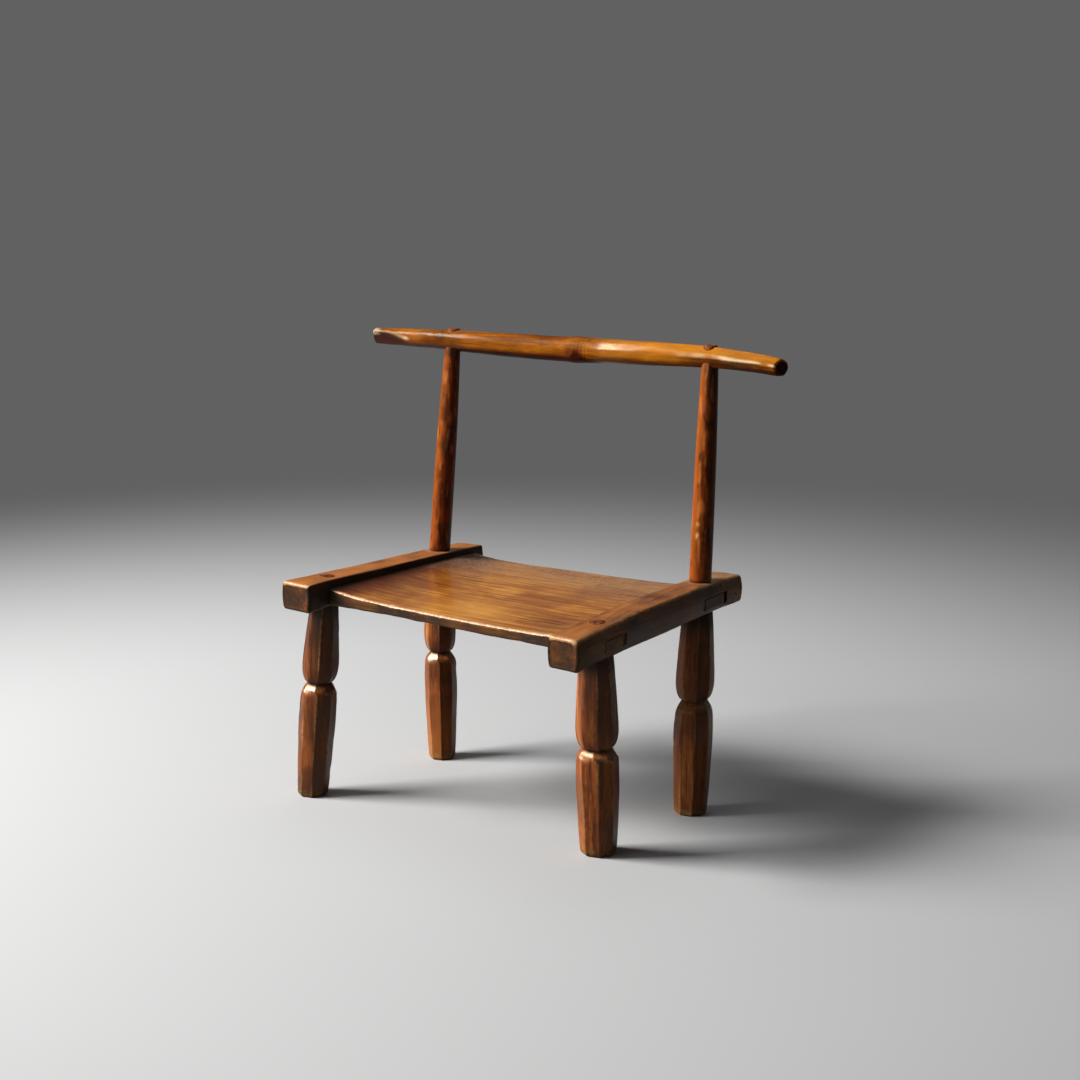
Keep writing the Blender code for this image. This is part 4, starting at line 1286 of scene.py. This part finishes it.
def post_hole(post, heights, radius):
    rings = [level_ring(post_point(post, z), radius(z) + HOLE_SLACK, grime=HOLE_SHADE) for z in heights]
    first, last = (capped(ring, (0.5,), grime=HOLE_SHADE) for ring in (rings[0], rings[-1]))
    return first + rings + last


def bore(leg):
    """The hole for a front leg's tenon, or for that of the post over a rear leg."""
    if leg.rear:
        post = post_over(leg)
        heights = (post_socket_floor(post) - BORE_FLOOR, post_foot(post).z + OVERCUT)
        return post_hole(post, heights, lambda z: POST_TENON_RADIUS)
    heights = (RAIL_UNDERSIDE - OVERCUT, leg_tenon_top(leg) + OVERCUT)
    return [moved(level_ring(on_axis(leg, z), LEG_BORE_RADIUS, grime=HOLE_SHADE), fitted) for z in heights]


def crest_hole(post):
    entry = crest_underside(post)
    heights = (entry - OVERCUT, entry, post_tip(post) + OVERCUT)
    return post_hole(post, heights, lambda z: post_radius(post, z))


# The chair

for name, rail in RAILS.items():
    own_legs = [leg for leg in LEGS.values() if leg.rail is rail]
    cuts = [("DIFFERENCE", rings) for leg in own_legs for rings in (mortise_rings(leg), bore(leg))]
    add_piece(f"{name}_side_rail", "rail_wood", rail_rings(rail), (rail_x(rail), 0, RAIL_UNDERSIDE), cuts)

joins = [("UNION", tenon_rings(leg)) for leg in LEGS.values()]
joins += [("DIFFERENCE", bore(leg)) for leg in LEGS.values()]
add_piece("seat_board", "seat_wood", seat_rings(), (FRAME_OFFSET, 0, SEAT_UNDERSIDE), joins)

for name, leg in LEGS.items():
    add_piece(f"{name}_leg", "leg_wood", leg_rings(leg), leg_axis(leg)[0])
    key_origin = lifted(outer_face(leg.rail), tenon_y(leg)[1], tenon_z(leg)[0])
    add_piece(f"{name}_tenon_key", "key_wood", key_rings(leg), key_origin)

for name, post in POSTS.items():
    add_piece(f"{name}_back_post", "post_wood", post_rings(post), post_foot(post))

holes = [("DIFFERENCE", crest_hole(post)) for post in POSTS.values()]
add_piece("crest_rail", "crest_wood", crest_rings(), (0, crest_y(0), crest_z(0)), holes)


# Floor, light and camera

scene = bpy.context.scene
scene.view_settings.view_transform = "Standard"

BACKDROP = (0.120, 0.120, 0.122, 1.0)
FILL = (0.034, 0.034, 0.036, 1.0)
FLOOR_SEEN = (0.61, 0.617, 0.628, 1.0)
FLOOR_BOUNCE = (0.07, 0.068, 0.065, 1.0)
FLOOR_HALF = 30.0
FLOOR_FADE = (0.75, 2.6)  # from the chair's middle, the floor melts into the backdrop
LIGHT_AIM = Vector((0.02, 0.02, 0.28))
CAMERA_AIM = Vector((0.0303, 0.0409, 0.3513))
CAMERA_HEADING = -53.1829
CAMERA_ELEVATION = 11.7613
CAMERA_DISTANCE = 2.6946
CAMERA_LENS = 68.452
CAMERA_FILM_WIDTH = 36.0


def seen_or_lit(g, lit, seen):
    """One colour for light that bounces about, and another for what is seen, also in reflections."""
    path = g.node("ShaderNodeLightPath", {})
    share = g.math("MAXIMUM", path.outputs["Is Camera Ray"], path.outputs["Is Glossy Ray"])
    share = g.math("MAXIMUM", share, path.outputs["Is Transmission Ray"])
    return g.blend(share, lit, seen)


floor_mesh = bpy.data.meshes.new("floor")
corners = [(sx * FLOOR_HALF, sy * FLOOR_HALF, 0.0) for sx, sy in ((-1, -1), (1, -1), (1, 1), (-1, 1))]
floor_mesh.from_pydata(corners, [], [(0, 1, 2, 3)])
floor = bpy.data.objects.new("floor", floor_mesh)
bpy.context.collection.objects.link(floor)

paper = bpy.data.materials.new("paper")
paper.use_nodes = True
g = Graph(paper.node_tree)
near = g.node("ShaderNodeBsdfDiffuse", {"Color": seen_or_lit(g, FLOOR_BOUNCE, FLOOR_SEEN)})
far = g.node("ShaderNodeEmission", {"Color": seen_or_lit(g, FILL, BACKDROP)})
place = g.node("ShaderNodeTexCoord", {}).outputs["Object"]
away = g.node("ShaderNodeVectorMath", {0: place}, operation="LENGTH")
fade = g.ease(away.outputs["Value"], *FLOOR_FADE)
both = g.node("ShaderNodeMixShader", {0: fade, 1: near.outputs[0], 2: far.outputs[0]})
paper.node_tree.links.new(both.outputs[0], paper.node_tree.nodes["Material Output"].inputs["Surface"])
floor_mesh.materials.append(paper)

world = bpy.data.worlds.new("studio")
world.use_nodes = True
scene.world = world
background = world.node_tree.nodes["Background"]
backdrop = seen_or_lit(Graph(world.node_tree), FILL, BACKDROP)
world.node_tree.links.new(backdrop, background.inputs["Color"])


def add_facing(name, data, aim, heading, elevation, distance):
    """A lamp or camera that faces a point. Angles are in degrees."""
    turn, rise = radians(heading), radians(elevation)
    out = Vector((cos(turn) * cos(rise), sin(turn) * cos(rise), sin(rise)))
    made = bpy.data.objects.new(name, data)
    made.location = aim + out * distance
    made.rotation_euler = out.to_track_quat("Z", "Y").to_euler()
    bpy.context.collection.objects.link(made)
    return made


def add_softbox(name, heading, elevation, distance, size, level, tint):
    """A square lamp. At level 1, a surface that faces it shows its colour as it is."""
    lamp = bpy.data.lights.new(name, "AREA")
    lamp.shape = "SQUARE"
    lamp.size = size
    lamp.energy = level * (pi * distance) ** 2
    lamp.color = tint
    add_facing(name, lamp, LIGHT_AIM, heading, elevation, distance)


add_softbox("key_softbox", -141.0, 37.0, 4.2, 1.7, 1.60, (1.0, 0.985, 0.96))
add_softbox("front_softbox", -112.0, 15.0, 3.6, 1.6, 0.12, (1.0, 0.99, 0.97))
add_softbox("top_softbox", 120.0, 68.0, 2.4, 1.4, 0.10, (0.97, 0.985, 1.0))

lens = bpy.data.cameras.new("camera")
lens.lens = CAMERA_LENS
lens.sensor_width = CAMERA_FILM_WIDTH
scene.camera = add_facing("camera", lens, CAMERA_AIM, CAMERA_HEADING, CAMERA_ELEVATION, CAMERA_DISTANCE)
